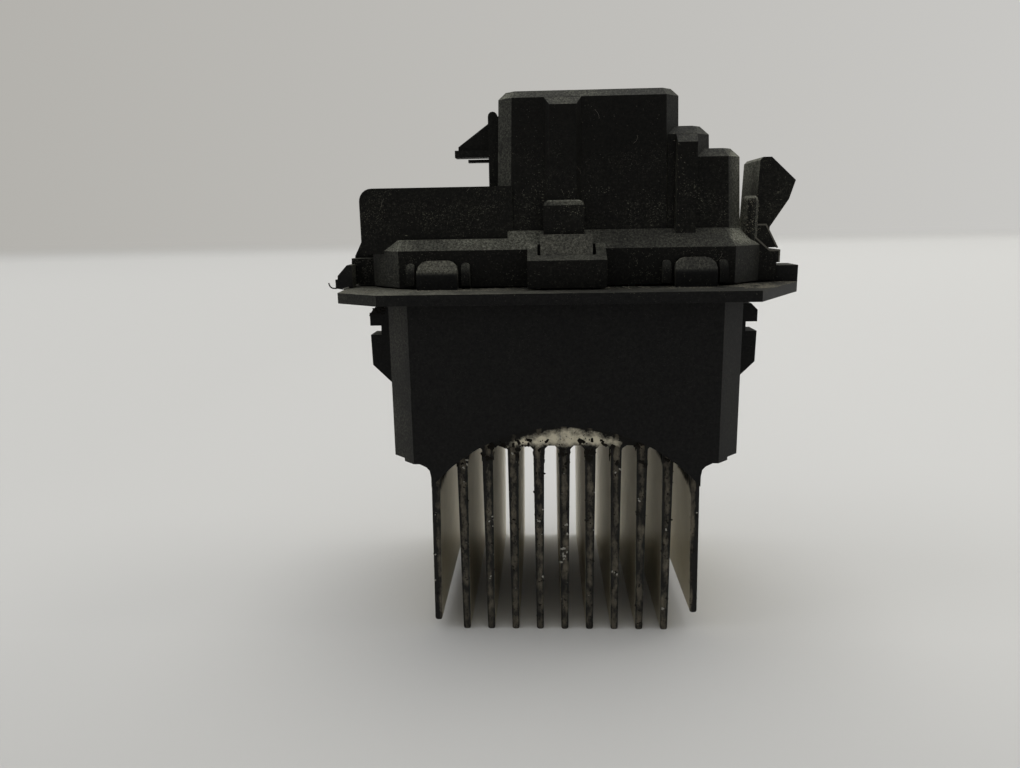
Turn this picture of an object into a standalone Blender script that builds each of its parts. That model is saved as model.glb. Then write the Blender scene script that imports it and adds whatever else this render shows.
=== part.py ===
# Blower motor resistor: the electronic speed regulator of a car's heater blower.
# A die-cast heat sink hangs its fins in the air duct. A moulded housing with a flange holds it,
# and a moulded cover with two plug sockets closes the electronics on top.
#
# Metres, +Z up. X runs to the right and Y to the back, seen from the side with the latch.
# The origin is on the tip of the middle fin, at the middle of the heat sink, on the surface
# that the fins stand on.
#
# While the shapes are built, heights are counted from the underside of the flange, which lies
# on the outside of the air duct. At the end everything is raised onto the fins' tips.

import math

import bmesh
import bpy
from mathutils import Matrix, Vector

# Fits
FIT_GAP = 0.0003              # clearance between pieces that seat on, or fit in, each other
SINK_IN = 0.0005              # how far a moulded-on feature starts inside the wall that carries it
RAMP_OVERRUN = 0.25           # a ramp's cutter runs on past the ramp by this share of it
MM = 1000.0                   # outlines are drawn in millimetres, see outline_prism

# Heat sink
FIN_PITCH = 0.0040
INNER_FIN_COUNT = 9
FIN_LENGTH = 0.0312
FIN_TIP_THICKNESS = 0.00115
FIN_ROOT_THICKNESS = 0.0017
FIN_ROOT_FILLET = 0.0006
FIN_TIP_ROUNDING = 0.00036
OUTER_FIN_PITCH = 0.0042      # from the last inner fin to the outer one, at their roots
OUTER_FIN_LEAN = 0.00045      # their tips lean outwards by this
OUTER_FIN_THICKNESS = 0.0014
LEFT_FIN_SHORTER = 0.0016     # the outer fins end above the inner ones
RIGHT_FIN_SHORTER = 0.0031
SINK_DEPTH = 0.0387
SINK_BASE_THICKNESS = 0.0050
SINK_BASE_OVERHANG = 0.0046   # the base plate ends this far past the middle of an outer fin
SINK_BASE_CORNER = 0.0026
BOARD_POST_RADIUS = 0.0028
BOARD_POST_INSET_X = 0.0040   # the four cast posts stand this far in from the board's edges
BOARD_POST_INSET_Y = 0.0035
CLIP_POST_RADIUS = 0.0030

# Lower housing: skirt
SKIRT_WALL = 0.0017
SKIRT_CORNER = 0.0035
SKIRT_BELOW_ROOTS = 0.0018    # the side walls end this far below the fins' roots
SKIRT_EDGE_DROP = 0.0005      # the bottom edge falls by this towards the legs
LEG_BELOW_ROOTS = 0.0062      # tips of the four legs beside the arches
LEG_INSET = 0.0061            # from a side wall to the outer side of a leg
LEG_BEND_INSET = 0.0054       # from a side wall to the bend between the bottom edge and a leg
LEG_BEND_BELOW_ROOTS = 0.0044 # lower end of that bend
ARCH_RADIUS = 0.0270
ARCH_ABOVE_ROOTS = 0.0036
STOP_RIB_THICKNESS = 0.0012   # ribs that the heat sink's base is pushed up against
STOP_RIB_PROUD = 0.0018
STOP_RIB_SIDE_Y = 0.0100
STOP_RIB_FACE_X = 0.0105

# Lower housing: flange
FLANGE_THICKNESS = 0.0016
FLANGE_FRONT = -0.0236
FLANGE_BACK = 0.0228
FLANGE_FRONT_LEFT = -0.0274   # ends of the straight front edge
FLANGE_FRONT_RIGHT = 0.0280
FLANGE_LEFT = -0.0352
FLANGE_LEFT_TIP_X = -0.0343
FLANGE_LEFT_TIP_Y = -0.0185
FLANGE_RIGHT = 0.0375
FLANGE_RIGHT_TIP_Y = -0.0087
FLANGE_BACK_CORNER = 0.0070
FLANGE_LEFT_FLARE_Y = -0.0020

# Lower housing: snap lugs on the side walls
LUG_WIDTH = 0.0050
LUG_PROUD = 0.0064            # outer face of a lug, from the side wall
LUG_NECK_PROUD = 0.0045
LUG_RAMP_PROUD = 0.0063
LUG_TOP = -0.0025
LUG_TOP_CHAMFER = 0.0011
LUG_SLOT_TOP = -0.0056
LUG_SLOT_HEIGHT = 0.0016
LUG_RAMP_TOP = -0.0125
LUG_RAMP_FOOT = -0.0193

# Lower housing: hooks that hold the cover
HOOK_WIDTH = 0.0063
HOOK_LEFT_X = -0.0194         # middles of the two hooks on a long side
HOOK_RIGHT_X = 0.0201
HOOK_THICKNESS = 0.0018
HOOK_TOP = 0.0060
HOOK_ROUNDING = 0.0016
HOOK_RAMP_HEIGHT = 0.0020     # the ramp that spreads the cover's catch as it goes on
HOOK_RAMP_DEPTH = 0.0013
WEDGE_LEFT = -0.0035
WEDGE_RIGHT = 0.0044
WEDGE_TOP = 0.0097
WEDGE_RAMP_FOOT = 0.0060
WEDGE_RAMP_DEPTH = 0.0021
WEDGE_DEPTH = 0.0029

# Lower housing: nubs at the ends of the flange
LEFT_NUB_OUT = -0.0367
LEFT_NUB_IN = -0.0339
LEFT_NUB_TOP = 0.0053
LEFT_NUB_BAR_TOP = 0.0030
LEFT_NUB_STEP = 0.0004        # how far the wedge stands back from the end of its bar
LEFT_NUB_RISE = 0.0006        # upright part of the wedge's end
LEFT_NUB_FRONT = -0.0104
LEFT_NUB_DEPTH = 0.0027
LEFT_NUB_SLOPE = 0.0020
RIGHT_NUB_LEFT = 0.0342
RIGHT_NUB_RIGHT = 0.0376
RIGHT_NUB_TOP = 0.0042
RIGHT_NUB_FRONT = -0.0084
RIGHT_NUB_DEPTH = 0.0055

# Upper cover: base block
COVER_LEFT = -0.0306
COVER_RIGHT = 0.0313
COVER_FRONT = -0.01405
COVER_BACK = 0.0190
COVER_TOP = 0.0103
COVER_TOP_CHAMFER = 0.0028
COVER_LOW_TOP = 0.00915       # top of the base block beside the motor socket
COVER_LOW_SIDE_X = -0.0086
COVER_WALL = 0.0018
COVER_CORNER = 0.0050
COVER_BACK_CORNER = 0.0030

# Upper cover: motor plug socket, the low block
MOTOR_LEFT = -0.0319
MOTOR_FRONT = -0.0113
MOTOR_BACK = 0.0090
MOTOR_TOP = 0.01715
MOTOR_FOOT = 0.0070
MOTOR_ROUNDING = 0.0020       # of the corner at its top left
MOTOR_SOCKET_FLOOR = 0.0067
MOTOR_SOCKET_RIGHT = -0.0186   # the latch nose hangs over what lies to the right of this

# Upper cover: supply plug socket, the tower
TOWER_LEFT = -0.01035
TOWER_RIGHT = 0.0184
TOWER_FRONT = -0.0110
TOWER_BACK = 0.0110
TOWER_TOP = 0.0313
TOWER_CORNER = 0.0022
TOWER_TOP_CHAMFER = 0.0011
TOWER_DRAFT = 0.0235          # metres per metre of height, 1.35 degrees
TOWER_SOCKET_FLOOR = 0.0169
KEY_RIB_LEFT = -0.0028
KEY_RIB_RIGHT = 0.0029
KEY_RIB_FLANK = 0.0008        # how far each sloping side of the rib reaches in
KEY_RIB_PROUD = 0.00115

# Upper cover: the two steps beside the tower
STEP_DRAFT = 0.0400           # metres per metre of height, 2.3 degrees
STEP_1_RIGHT = 0.0234
STEP_1_BACK = 0.0095
STEP_1_TOP = 0.0257
STEP_2_RIGHT = 0.0281
STEP_2_BACK = 0.0080
STEP_2_TOP = 0.0223
STEP_CORNER = 0.0022
STEP_TOP_CHAMFER = 0.0013
STEP_SETBACK = 0.0002         # the steps' front faces lie this far behind the tower's
STEP_RIB_LEFT = 0.0174
STEP_RIB_RIGHT = 0.0206
STEP_RIB_PROUD = 0.0012
STEP_RIB_FLANK = 0.0001

# Upper cover: pocket round the housing's wedge, and the stop above it
POCKET_LEFT = -0.00545
POCKET_RIGHT = 0.0064
POCKET_FRONT = -0.01875
POCKET_WALL = 0.0015
POCKET_PLATE_TOP = 0.0060
POCKET_WALL_TOP = 0.0085
STOP_LEFT = -0.0030
STOP_RIGHT = 0.00325
STOP_FRONT = -0.0137
STOP_TOP = 0.01485
STOP_ROUNDING = 0.0008

# Upper cover: ears on both sides of each hook
EAR_THICKNESS = 0.0013
EAR_PROUD = 0.0012
EAR_TOP = 0.0056
EAR_SIDE_GAP = 0.0005
EAR_ROUNDING = 0.0005
EAR_RAMP_HEIGHT = 0.0016
EAR_RAMP_DEPTH = 0.0008

# Upper cover: latch nose for the supply plug, left of the tower
NOSE_PLATE_THICKNESS = 0.0015
NOSE_PLATE_RISE = 0.0058      # the plate's top over the shelf
NOSE_FRONT = -0.0073
NOSE_DEPTH = 0.0135
NOSE_OUT = -0.0170
NOSE_SHELF_TOP = 0.0229
NOSE_SHELF_THICKNESS = 0.0011
NOSE_SHELF_DEPTH = 0.0030
NOSE_GUSSET_RISE = 0.0041     # the gusset's top over the shelf
NOSE_GUSSET_THICKNESS = 0.0012
NOSE_BAR_OUT = -0.0160
NOSE_BAR_THICKNESS = 0.0005
NOSE_BAR_DEPTH = 0.0015
NOSE_TIP_HEIGHT = 0.0006

# Upper cover: hook, pip and clips on the right, clips on the left
CLAW_FRONT = -0.0073
CLAW_DEPTH = 0.0100
CLAW_LEFT = 0.0305
CLAW_TOP_LEFT = 0.0311
CLAW_TOP_RIGHT = 0.0329
CLAW_TOP = 0.0210
CLAW_TIP_X = 0.0368
CLAW_TIP_Z = 0.0174
CLAW_TIP_LOW_X = 0.0359
CLAW_TIP_LOW_Z = 0.0145
CLAW_NECK_X = 0.0331
CLAW_NECK_Z = 0.0102
CLAW_FOOT = 0.0044
PIP_X = 0.0296
PIP_Y = -0.0082
PIP_RADIUS = 0.0013
PIP_TOP = 0.0151
RAMP_FRONT = -0.0083
RAMP_TOP = 0.0107
RAMP_KNEE_X = 0.0323
RAMP_TIP_X = 0.0343
RAMP_TIP_Z = 0.0070
RAMP_THICKNESS = 0.0013
CATCH_RIGHT = 0.0344
CATCH_TOP = 0.0067
CATCH_BOTTOM = 0.0047         # it hangs over the housing's nub
CATCH_KNEE_X = 0.0328
CATCH_SHOULDER = 0.0096       # top of its slope, at the cover's wall
CATCH_FRONT = -0.0092
CATCH_BACK = -0.0020
LEFT_CATCH_OUT = -0.0346
LEFT_CATCH_TOP = 0.0062
LEFT_CATCH_FRONT = -0.0073
LEFT_CATCH_BACK = 0.0005
LEFT_GUSSET_OUT = -0.0345
LEFT_GUSSET_TOP = 0.0096

# Circuit board and what stands on it
BOARD_BELOW_FLANGE = 0.0055   # from the flange's underside down to the board's top
BOARD_THICKNESS = 0.0016
BOARD_CLEARANCE = 0.0021      # free height under it, over the clip's screw
BOARD_SIDE_CLEARANCE = 0.0008 # from its edges to the housing's ribs
BOARD_END_CLEARANCE = 0.00085
SCREW_RADIUS = 0.00115
SCREW_HEAD_RADIUS = 0.0022
SCREW_HEAD_HEIGHT = 0.0014
SCREW_LENGTH = 0.0060
CAPACITOR_RADIUS = 0.0050
CAPACITOR_CLEARANCE = 0.0012  # from its top to the cover over it
CAPACITOR_X = 0.0020
CAPACITOR_Y = 0.0100
CHOKE_RADIUS = 0.0048
CHOKE_WAIST = 0.0026
CHOKE_HEIGHT = 0.0095
CHOKE_FLANGE = 0.0013
CHOKE_X = 0.0136
CHOKE_Y = 0.0070
CHIP_X = -0.0065
CHIP_Y = -0.0085
CHIP_LENGTH = 0.0099
CHIP_WIDTH = 0.0039
CHIP_HEIGHT = 0.0016
CHIP_LEADS = 8
CHIP_LEAD_PITCH = 0.00127
CHIP_LEAD_WIDTH = 0.0005
CHIP_LEAD_REACH = 0.0011
SHUNT_X = 0.0120
SHUNT_Y = -0.0085
SHUNT_LENGTH = 0.0100
SHUNT_WIDTH = 0.0030
SHUNT_THICKNESS = 0.0008
SHUNT_HEIGHT = 0.0030
DIODE_X = -0.0130
DIODE_Y = 0.0100
DIODE_LENGTH = 0.0068
DIODE_WIDTH = 0.0060
DIODE_HEIGHT = 0.0023

# Power transistors under the board
TRANSISTOR_X = 0.0100
TRANSISTOR_Y = -0.0010
TRANSISTOR_WIDTH = 0.0100
TRANSISTOR_BODY_LENGTH = 0.0092
TRANSISTOR_TAB_LENGTH = 0.0060
TRANSISTOR_TAB_THICKNESS = 0.0013
TRANSISTOR_HEIGHT = 0.0044
TRANSISTOR_LEAD_PITCH = 0.00254
TRANSISTOR_LEAD_SIZE = 0.0008
TRANSISTOR_LEAD_REACH = 0.0030
PAD_THICKNESS = 0.0004
PAD_MARGIN = 0.0008
CLIP_THICKNESS = 0.0008
CLIP_WIDTH = 0.0070
CLIP_ARM_RISE = 0.0010
CLIP_ARM_FLAT_X = 0.0040
CLIP_ARM_CREST_X = 0.0065
BEAD_WIDTH = 0.0020
BEAD_THICKNESS = 0.0005

# Terminals
BLADE_WIDTH = 0.0063
BLADE_THICKNESS = 0.0008
BLADE_TIP_TAPER = 0.0012
BLADE_TIP_SLOPE = 0.6         # each side comes in by this share of the taper's height
MOTOR_BLADE_LENGTH = 0.0081   # in the socket, from its floor
MOTOR_BLADE_X = -0.0242
MOTOR_BLADE_PITCH = 0.0083
MOTOR_BLADE_FOOT_INSET = 0.0013  # the feet stand this far in from the board's edge
MOTOR_BLADE_JOG_START = 0.0009
MOTOR_BLADE_JOG_RISE = 0.0030
SUPPLY_BLADE_LENGTH = 0.0105
SUPPLY_BLADE_1_X = -0.0032
SUPPLY_BLADE_2_X = 0.0045
SUPPLY_BLADE_Y = 0.0005
PIN_SIZE = 0.0010
PIN_LENGTH = 0.0085
PIN_FIRST_X = 0.0100
PIN_PITCH = 0.0022
PIN_COUNT = 3

# Smoothness of round pieces
ROUND_STEPS = 20
CORNER_STEPS = 3

# Heights that follow from the sizes above, from the flange's underside down
FLANGE_UNDERSIDE = 0.0
BOARD_TOP = FLANGE_UNDERSIDE - BOARD_BELOW_FLANGE
BOARD_UNDERSIDE = BOARD_TOP - BOARD_THICKNESS
CLIP_SCREW_TOP = BOARD_UNDERSIDE - BOARD_CLEARANCE
CLIP_TOP = CLIP_SCREW_TOP - SCREW_HEAD_HEIGHT - FIT_GAP
CLIP_BOTTOM = CLIP_TOP - CLIP_THICKNESS
TRANSISTOR_TOP = CLIP_BOTTOM - FIT_GAP
TRANSISTOR_BOTTOM = TRANSISTOR_TOP - TRANSISTOR_HEIGHT
PAD_BOTTOM = TRANSISTOR_BOTTOM - FIT_GAP - PAD_THICKNESS
SINK_BASE_TOP = PAD_BOTTOM - FIT_GAP
FIN_ROOTS = SINK_BASE_TOP - SINK_BASE_THICKNESS
FIN_TIPS = FIN_ROOTS - FIN_LENGTH
BEAD_BOTTOM = SINK_BASE_TOP + FIT_GAP
STOP_RIB_BOTTOM = BEAD_BOTTOM + BEAD_THICKNESS + FIT_GAP
BOARD_POST_TOP = BOARD_UNDERSIDE - FIT_GAP
SKIRT_BOTTOM = FIN_ROOTS - SKIRT_BELOW_ROOTS
LEG_BOTTOM = FIN_ROOTS - LEG_BELOW_ROOTS
LEG_BEND_BOTTOM = FIN_ROOTS - LEG_BEND_BELOW_ROOTS
ARCH_TOP = FIN_ROOTS + ARCH_ABOVE_ROOTS

# Heights that follow, from the flange's underside up
FLANGE_TOP = FLANGE_UNDERSIDE + FLANGE_THICKNESS
COVER_FOOT = FLANGE_TOP + FIT_GAP
PART_FOOT = BOARD_TOP + FIT_GAP
TERMINAL_FOOT = BOARD_TOP + FIT_GAP
CAPACITOR_TOP = COVER_TOP - COVER_WALL - CAPACITOR_CLEARANCE
MOTOR_CEILING = MOTOR_SOCKET_FLOOR - COVER_WALL
TOWER_CEILING = TOWER_SOCKET_FLOOR - COVER_WALL
NOSE_PLATE_TOP = NOSE_SHELF_TOP + NOSE_PLATE_RISE
NOSE_GUSSET_TOP = NOSE_SHELF_TOP + NOSE_GUSSET_RISE
MOTOR_BLADE_TOP = MOTOR_SOCKET_FLOOR + MOTOR_BLADE_LENGTH
SUPPLY_BLADE_TOP = TOWER_SOCKET_FLOOR + SUPPLY_BLADE_LENGTH
PIN_TOP = TOWER_SOCKET_FLOOR + PIN_LENGTH

# Places across that follow, from the fins outwards and then back in to the board
OUTER_FIN_X = (INNER_FIN_COUNT - 1) / 2 * FIN_PITCH + OUTER_FIN_PITCH
SINK_BASE_HALF_X = OUTER_FIN_X + SINK_BASE_OVERHANG
SKIRT_INNER_X = SINK_BASE_HALF_X + FIT_GAP
SKIRT_INNER_Y = SINK_DEPTH / 2 + FIT_GAP
SKIRT_HALF_WIDTH = SKIRT_INNER_X + SKIRT_WALL
SKIRT_HALF_DEPTH = SKIRT_INNER_Y + SKIRT_WALL
INNER_CORNER = SINK_BASE_CORNER - FIT_GAP / 2
LEG_X = SKIRT_HALF_WIDTH - LEG_INSET
LEG_BEND_X = SKIRT_HALF_WIDTH - LEG_BEND_INSET
LUG_OUT = SKIRT_HALF_WIDTH + LUG_PROUD
LUG_NECK_OUT = SKIRT_HALF_WIDTH + LUG_NECK_PROUD
LUG_RAMP_OUT = SKIRT_HALF_WIDTH + LUG_RAMP_PROUD
BOARD_HALF_X = SKIRT_INNER_X - STOP_RIB_PROUD - BOARD_SIDE_CLEARANCE
BOARD_HALF_Y = SKIRT_INNER_Y - STOP_RIB_PROUD - BOARD_END_CLEARANCE
BOARD_POST_X = BOARD_HALF_X - BOARD_POST_INSET_X
BOARD_POST_Y = BOARD_HALF_Y - BOARD_POST_INSET_Y
MOTOR_BLADE_FOOT_X = MOTOR_BLADE_FOOT_INSET - BOARD_HALF_X


# Scene

def clear_scene():
    """Removes what the file holds, so that the script starts from nothing."""
    for item in list(bpy.data.objects):
        bpy.data.objects.remove(item, do_unlink=True)
    for group in list(bpy.data.collections):
        bpy.data.collections.remove(group)


def new_collection(name):
    group = bpy.data.collections.new(name)
    bpy.context.scene.collection.children.link(group)
    return group


def new_material(name, colour, roughness, metallic=0.0):
    """A Principled surface. The colour is linear red, green and blue."""
    surface = bpy.data.materials.new(name)
    surface.use_nodes = True
    shader = surface.node_tree.nodes["Principled BSDF"]
    shader.inputs["Base Color"].default_value = (*colour, 1.0)
    shader.inputs["Roughness"].default_value = roughness
    shader.inputs["Metallic"].default_value = metallic
    surface.diffuse_color = (*colour, 1.0)
    return surface


clear_scene()
PARTS = new_collection("blower_motor_resistor")
TOOLS = new_collection("cutters_and_joined_shapes")

MATERIALS = {
    "cast_aluminium": new_material("cast_aluminium", (0.42, 0.40, 0.36), 0.62, 0.9),
    "cover_nylon": new_material("cover_nylon", (0.012, 0.012, 0.013), 0.58),
    "housing_nylon": new_material("housing_nylon", (0.014, 0.014, 0.015), 0.55),
    "board_green": new_material("board_green", (0.02, 0.09, 0.04), 0.45),
    "epoxy_black": new_material("epoxy_black", (0.02, 0.02, 0.02), 0.5),
    "silicone_grey": new_material("silicone_grey", (0.3, 0.3, 0.29), 0.7),
    "spring_steel": new_material("spring_steel", (0.45, 0.45, 0.46), 0.3, 1.0),
    "zinc_steel": new_material("zinc_steel", (0.55, 0.56, 0.58), 0.35, 1.0),
    "tinned_brass": new_material("tinned_brass", (0.62, 0.60, 0.55), 0.3, 1.0),
    "copper": new_material("copper", (0.65, 0.25, 0.12), 0.3, 1.0),
    "ferrite": new_material("ferrite", (0.06, 0.06, 0.065), 0.6),
    "sleeve": new_material("sleeve", (0.02, 0.03, 0.06), 0.35),
}


# Shapes

def add_object(name, mesh, group):
    item = bpy.data.objects.new(name, mesh)
    group.objects.link(item)
    return item


def bmesh_object(name, form):
    """Turns a bmesh into an object among the tools, and frees the bmesh."""
    mesh = bpy.data.meshes.new(name)
    form.to_mesh(mesh)
    form.free()
    return add_object(name, mesh, TOOLS)


def box(name, x, y, z):
    """A box from its low and high value along each axis."""
    size = Vector((x[1] - x[0], y[1] - y[0], z[1] - z[0]))
    middle = Vector((x[0] + x[1], y[0] + y[1], z[0] + z[1])) / 2
    form = bmesh.new()
    bmesh.ops.create_cube(form, size=1.0)
    bmesh.ops.scale(form, vec=size, verts=form.verts)
    bmesh.ops.translate(form, vec=middle, verts=form.verts)
    return bmesh_object(name, form)


SIDES = {
    "left": Vector((-1, 0, 0)), "right": Vector((1, 0, 0)),
    "front": Vector((0, -1, 0)), "back": Vector((0, 1, 0)),
    "bottom": Vector((0, 0, -1)), "top": Vector((0, 0, 1)),
}


def soften(item, edge_names, width, steps=CORNER_STEPS):
    """Rounds, or with one step chamfers, the box edges named as pairs of sides."""
    form = bmesh.new()
    form.from_mesh(item.data)
    form.normal_update()
    chosen = []
    for edge in form.edges:
        normals = [face.normal for face in edge.link_faces]
        for first, second in edge_names:
            one = SIDES[first]
            two = SIDES[second]
            straight = normals[0].dot(one) > 0.9 and normals[1].dot(two) > 0.9
            swapped = normals[0].dot(two) > 0.9 and normals[1].dot(one) > 0.9
            if straight or swapped:
                chosen.append(edge)
    bmesh.ops.bevel(form, geom=chosen, offset=width, segments=steps, profile=0.5, affect="EDGES")
    form.to_mesh(item.data)
    form.free()
    return item


def cylinder(name, radius, x, y, z, steps=ROUND_STEPS, top_radius=None):
    """An upright cylinder or cone from z[0] to z[1]."""
    upper = radius if top_radius is None else top_radius
    form = bmesh.new()
    bmesh.ops.create_cone(form, cap_ends=True, segments=steps, radius1=radius, radius2=upper,
                          depth=z[1] - z[0])
    bmesh.ops.translate(form, vec=(x, y, (z[0] + z[1]) / 2), verts=form.verts)
    return bmesh_object(name, form)


def turned(name, profile, x, y, steps=ROUND_STEPS):
    """A solid turned about an upright axis. The profile runs from the axis, top first."""
    mesh = bpy.data.meshes.new(name)
    points = [(radius, 0.0, height) for radius, height in profile]
    edges = [(index, index + 1) for index in range(len(points) - 1)]
    mesh.from_pydata(points, edges, [])
    item = add_object(name, mesh, TOOLS)
    item.location = (x, y, 0)
    screw = item.modifiers.new("turn", "SCREW")
    screw.steps = steps
    screw.render_steps = steps
    screw.use_merge_vertices = True
    screw.merge_threshold = 0.00001
    screw.use_smooth_shade = False
    return item


def turned_ring(name, profile, x, y, steps=ROUND_STEPS):
    """A ring turned about an upright axis from a closed profile."""
    mesh = bpy.data.meshes.new(name)
    points = [(radius, 0.0, height) for radius, height in profile]
    edges = [(index, (index + 1) % len(points)) for index in range(len(points))]
    mesh.from_pydata(points, edges, [])
    item = add_object(name, mesh, TOOLS)
    item.location = (x, y, 0)
    screw = item.modifiers.new("turn", "SCREW")
    screw.steps = steps
    screw.render_steps = steps
    screw.use_merge_vertices = True
    screw.merge_threshold = 0.00001
    screw.use_smooth_shade = False
    return item


# How an outline's two directions and its thickness lie in space
PLANES = {
    "XY": Matrix(((1, 0, 0, 0), (0, 1, 0, 0), (0, 0, 1, 0), (0, 0, 0, 1))),
    "XZ": Matrix(((1, 0, 0, 0), (0, 0, -1, 0), (0, 1, 0, 0), (0, 0, 0, 1))),
    "YZ": Matrix(((0, 0, 1, 0), (1, 0, 0, 0), (0, 1, 0, 0), (0, 0, 0, 1))),
}


def outline_prism(name, outline, plane, low, high):
    """A flat outline with a thickness, from low to high along the third axis.

    The curve is drawn in millimetres and then reduced, because a curve's fill drops edges
    that are shorter than 0.03 units.
    """
    curve = bpy.data.curves.new(name, "CURVE")
    curve.dimensions = "2D"
    curve.fill_mode = "BOTH"
    curve.extrude = (high - low) / 2 * MM
    spline = curve.splines.new("POLY")
    spline.points.add(len(outline) - 1)
    for point, (across, up) in zip(spline.points, outline):
        point.co = (across * MM, up * MM, 0.0, 1.0)
    spline.use_cyclic_u = True
    drawn = add_object(name + "_outline", curve, TOOLS)
    evaluated = drawn.evaluated_get(bpy.context.evaluated_depsgraph_get())
    mesh = bpy.data.meshes.new_from_object(evaluated)
    bpy.data.objects.remove(drawn, do_unlink=True)
    bpy.data.curves.remove(curve)

    form = bmesh.new()
    form.from_mesh(mesh)
    bmesh.ops.remove_doubles(form, verts=form.verts, dist=0.001)
    bmesh.ops.recalc_face_normals(form, faces=form.faces)
    bmesh.ops.dissolve_limit(form, angle_limit=0.001, verts=form.verts, edges=form.edges)
    middle = (low + high) / 2
    offset = {"XY": (0, 0, middle), "XZ": (0, middle, 0), "YZ": (middle, 0, 0)}[plane]
    place = Matrix.Translation(offset) @ PLANES[plane] @ Matrix.Scale(1 / MM, 4)
    bmesh.ops.transform(form, matrix=place, verts=form.verts)
    bmesh.ops.recalc_face_normals(form, faces=form.faces)
    form.to_mesh(mesh)
    form.free()
    return add_object(name, mesh, TOOLS)


def taper_towards_top(item, draft):
    """Moves the sides of an upright body inwards with height, as a mould's draft does."""
    mesh = item.data
    xs = [vertex.co.x for vertex in mesh.vertices]
    ys = [vertex.co.y for vertex in mesh.vertices]
    zs = [vertex.co.z for vertex in mesh.vertices]
    middle_x = (min(xs) + max(xs)) / 2
    middle_y = (min(ys) + max(ys)) / 2
    half_x = (max(xs) - min(xs)) / 2
    half_y = (max(ys) - min(ys)) / 2
    foot = min(zs)
    for vertex in mesh.vertices:
        inset = draft * (vertex.co.z - foot)
        vertex.co.x = middle_x + (vertex.co.x - middle_x) * (1 - inset / half_x)
        vertex.co.y = middle_y + (vertex.co.y - middle_y) * (1 - inset / half_y)
    return item


def chamfer_top(item, width):
    """Cuts the edges round the top face at 45 degrees."""
    form = bmesh.new()
    form.from_mesh(item.data)
    top = max(vertex.co.z for vertex in form.verts)
    rim = []
    for edge in form.edges:
        level = all(abs(vertex.co.z - top) < 1e-6 for vertex in edge.verts)
        upright = [face for face in edge.link_faces if abs(face.normal.z) < 0.5]
        if level and len(upright) == 1:
            rim.append(edge)
    bmesh.ops.bevel(form, geom=rim, offset=width, segments=1, affect="EDGES",
                    offset_type="OFFSET")
    form.to_mesh(item.data)
    form.free()
    return item


def corner_cut_outline(left, right, front, back, front_left=0.0, front_right=0.0,
                       back_right=0.0, back_left=0.0):
    """A rectangle in plan whose corners are cut at 45 degrees by the given widths."""
    outline = []
    corners = (
        (left, front, front_left, (0, 1), (1, 0)),
        (right, front, front_right, (-1, 0), (0, 1)),
        (right, back, back_right, (0, -1), (-1, 0)),
        (left, back, back_left, (1, 0), (0, -1)),
    )
    for x, y, width, before, after in corners:
        if width == 0.0:
            outline.append((x, y))
            continue
        outline.append((x + before[0] * width, y + before[1] * width))
        outline.append((x + after[0] * width, y + after[1] * width))
    return outline


def arc(centre, radius, start, end, steps):
    """Points on a circle, from the start angle to the end angle, in degrees."""
    points = []
    for step in range(steps + 1):
        angle = math.radians(start + (end - start) * step / steps)
        points.append((centre[0] + radius * math.cos(angle), centre[1] + radius * math.sin(angle)))
    return points


def ramped_block(name, x, back, face, foot, top, rounding, ramp_height, ramp_depth):
    """An upright block with round top corners and a ramp down its face, from back to face in Y."""
    outward = 1 if face > back else -1
    outline = [(x[0], foot)]
    outline += arc((x[0] + rounding, top - rounding), rounding, 180, 90, CORNER_STEPS)
    outline += arc((x[1] - rounding, top - rounding), rounding, 90, 0, CORNER_STEPS)
    outline += [(x[1], foot)]
    past_face = face + outward * SINK_IN
    block = outline_prism(name, outline, "XZ", min(back, past_face), max(back, past_face))
    past_back = back - outward * SINK_IN
    over_top = top + ramp_height * RAMP_OVERRUN
    profile = [
        (past_back, foot - SINK_IN),
        (face, foot - SINK_IN),
        (face, top - ramp_height),
        (face - outward * ramp_depth * (1 + RAMP_OVERRUN), over_top),
        (past_back, over_top),
    ]
    margin = SINK_IN
    under_ramp = outline_prism(name + "_ramp", profile, "YZ", x[0] - margin, x[1] + margin)
    return combine(block, under_ramp, "INTERSECT")


def combine(body, shape, operation):
    """Joins a shape to a body, or cuts it away, or keeps only what lies in both."""
    modifier = body.modifiers.new(operation.lower() + "_" + shape.name, "BOOLEAN")
    modifier.operation = operation
    modifier.solver = "EXACT"
    modifier.object = shape
    shape.hide_render = True
    shape.display_type = "WIRE"
    return body


def join(body, *shapes):
    for shape in shapes:
        combine(body, shape, "UNION")
    return body


def cut(body, *shapes):
    for shape in shapes:
        combine(body, shape, "DIFFERENCE")
    return body


def finish_part(body, name, material):
    """Makes a shape one of the object's pieces: its name, its collection and its material."""
    TOOLS.objects.unlink(body)
    PARTS.objects.link(body)
    body.name = name
    body.data.name = name
    body.data.materials.clear()
    body.data.materials.append(MATERIALS[material])
    return body


def raise_everything(height):
    """Moves every shape up. The cutters move too, so that each cut stays where it is."""
    for item in bpy.data.objects:
        item.location.z += height


def smooth_round(body):
    """Shades the curved faces smooth, and leaves edges of more than 35 degrees sharp."""
    body.data.shade_smooth()
    body.data.set_sharp_from_angle(angle=math.radians(35))
    return body


# Heat sink

def fin_outline(root_x, tip_x, tip_z, root_thickness, tip_thickness):
    """The outline of one fin from its left root to its right root, with rounded tip corners."""
    root_half = root_thickness / 2
    tip_half = tip_thickness / 2
    fillet = FIN_ROOT_FILLET
    left = [(root_x - root_half - fillet, FIN_ROOTS), (root_x - root_half, FIN_ROOTS - fillet)]
    rounding = FIN_TIP_ROUNDING
    tip = arc((tip_x - tip_half + rounding, tip_z + rounding), rounding, 180, 270, 2)
    tip += arc((tip_x + tip_half - rounding, tip_z + rounding), rounding, 270, 360, 2)
    right = [(root_x + root_half, FIN_ROOTS - fillet), (root_x + root_half + fillet, FIN_ROOTS)]
    return left + tip + right


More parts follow.
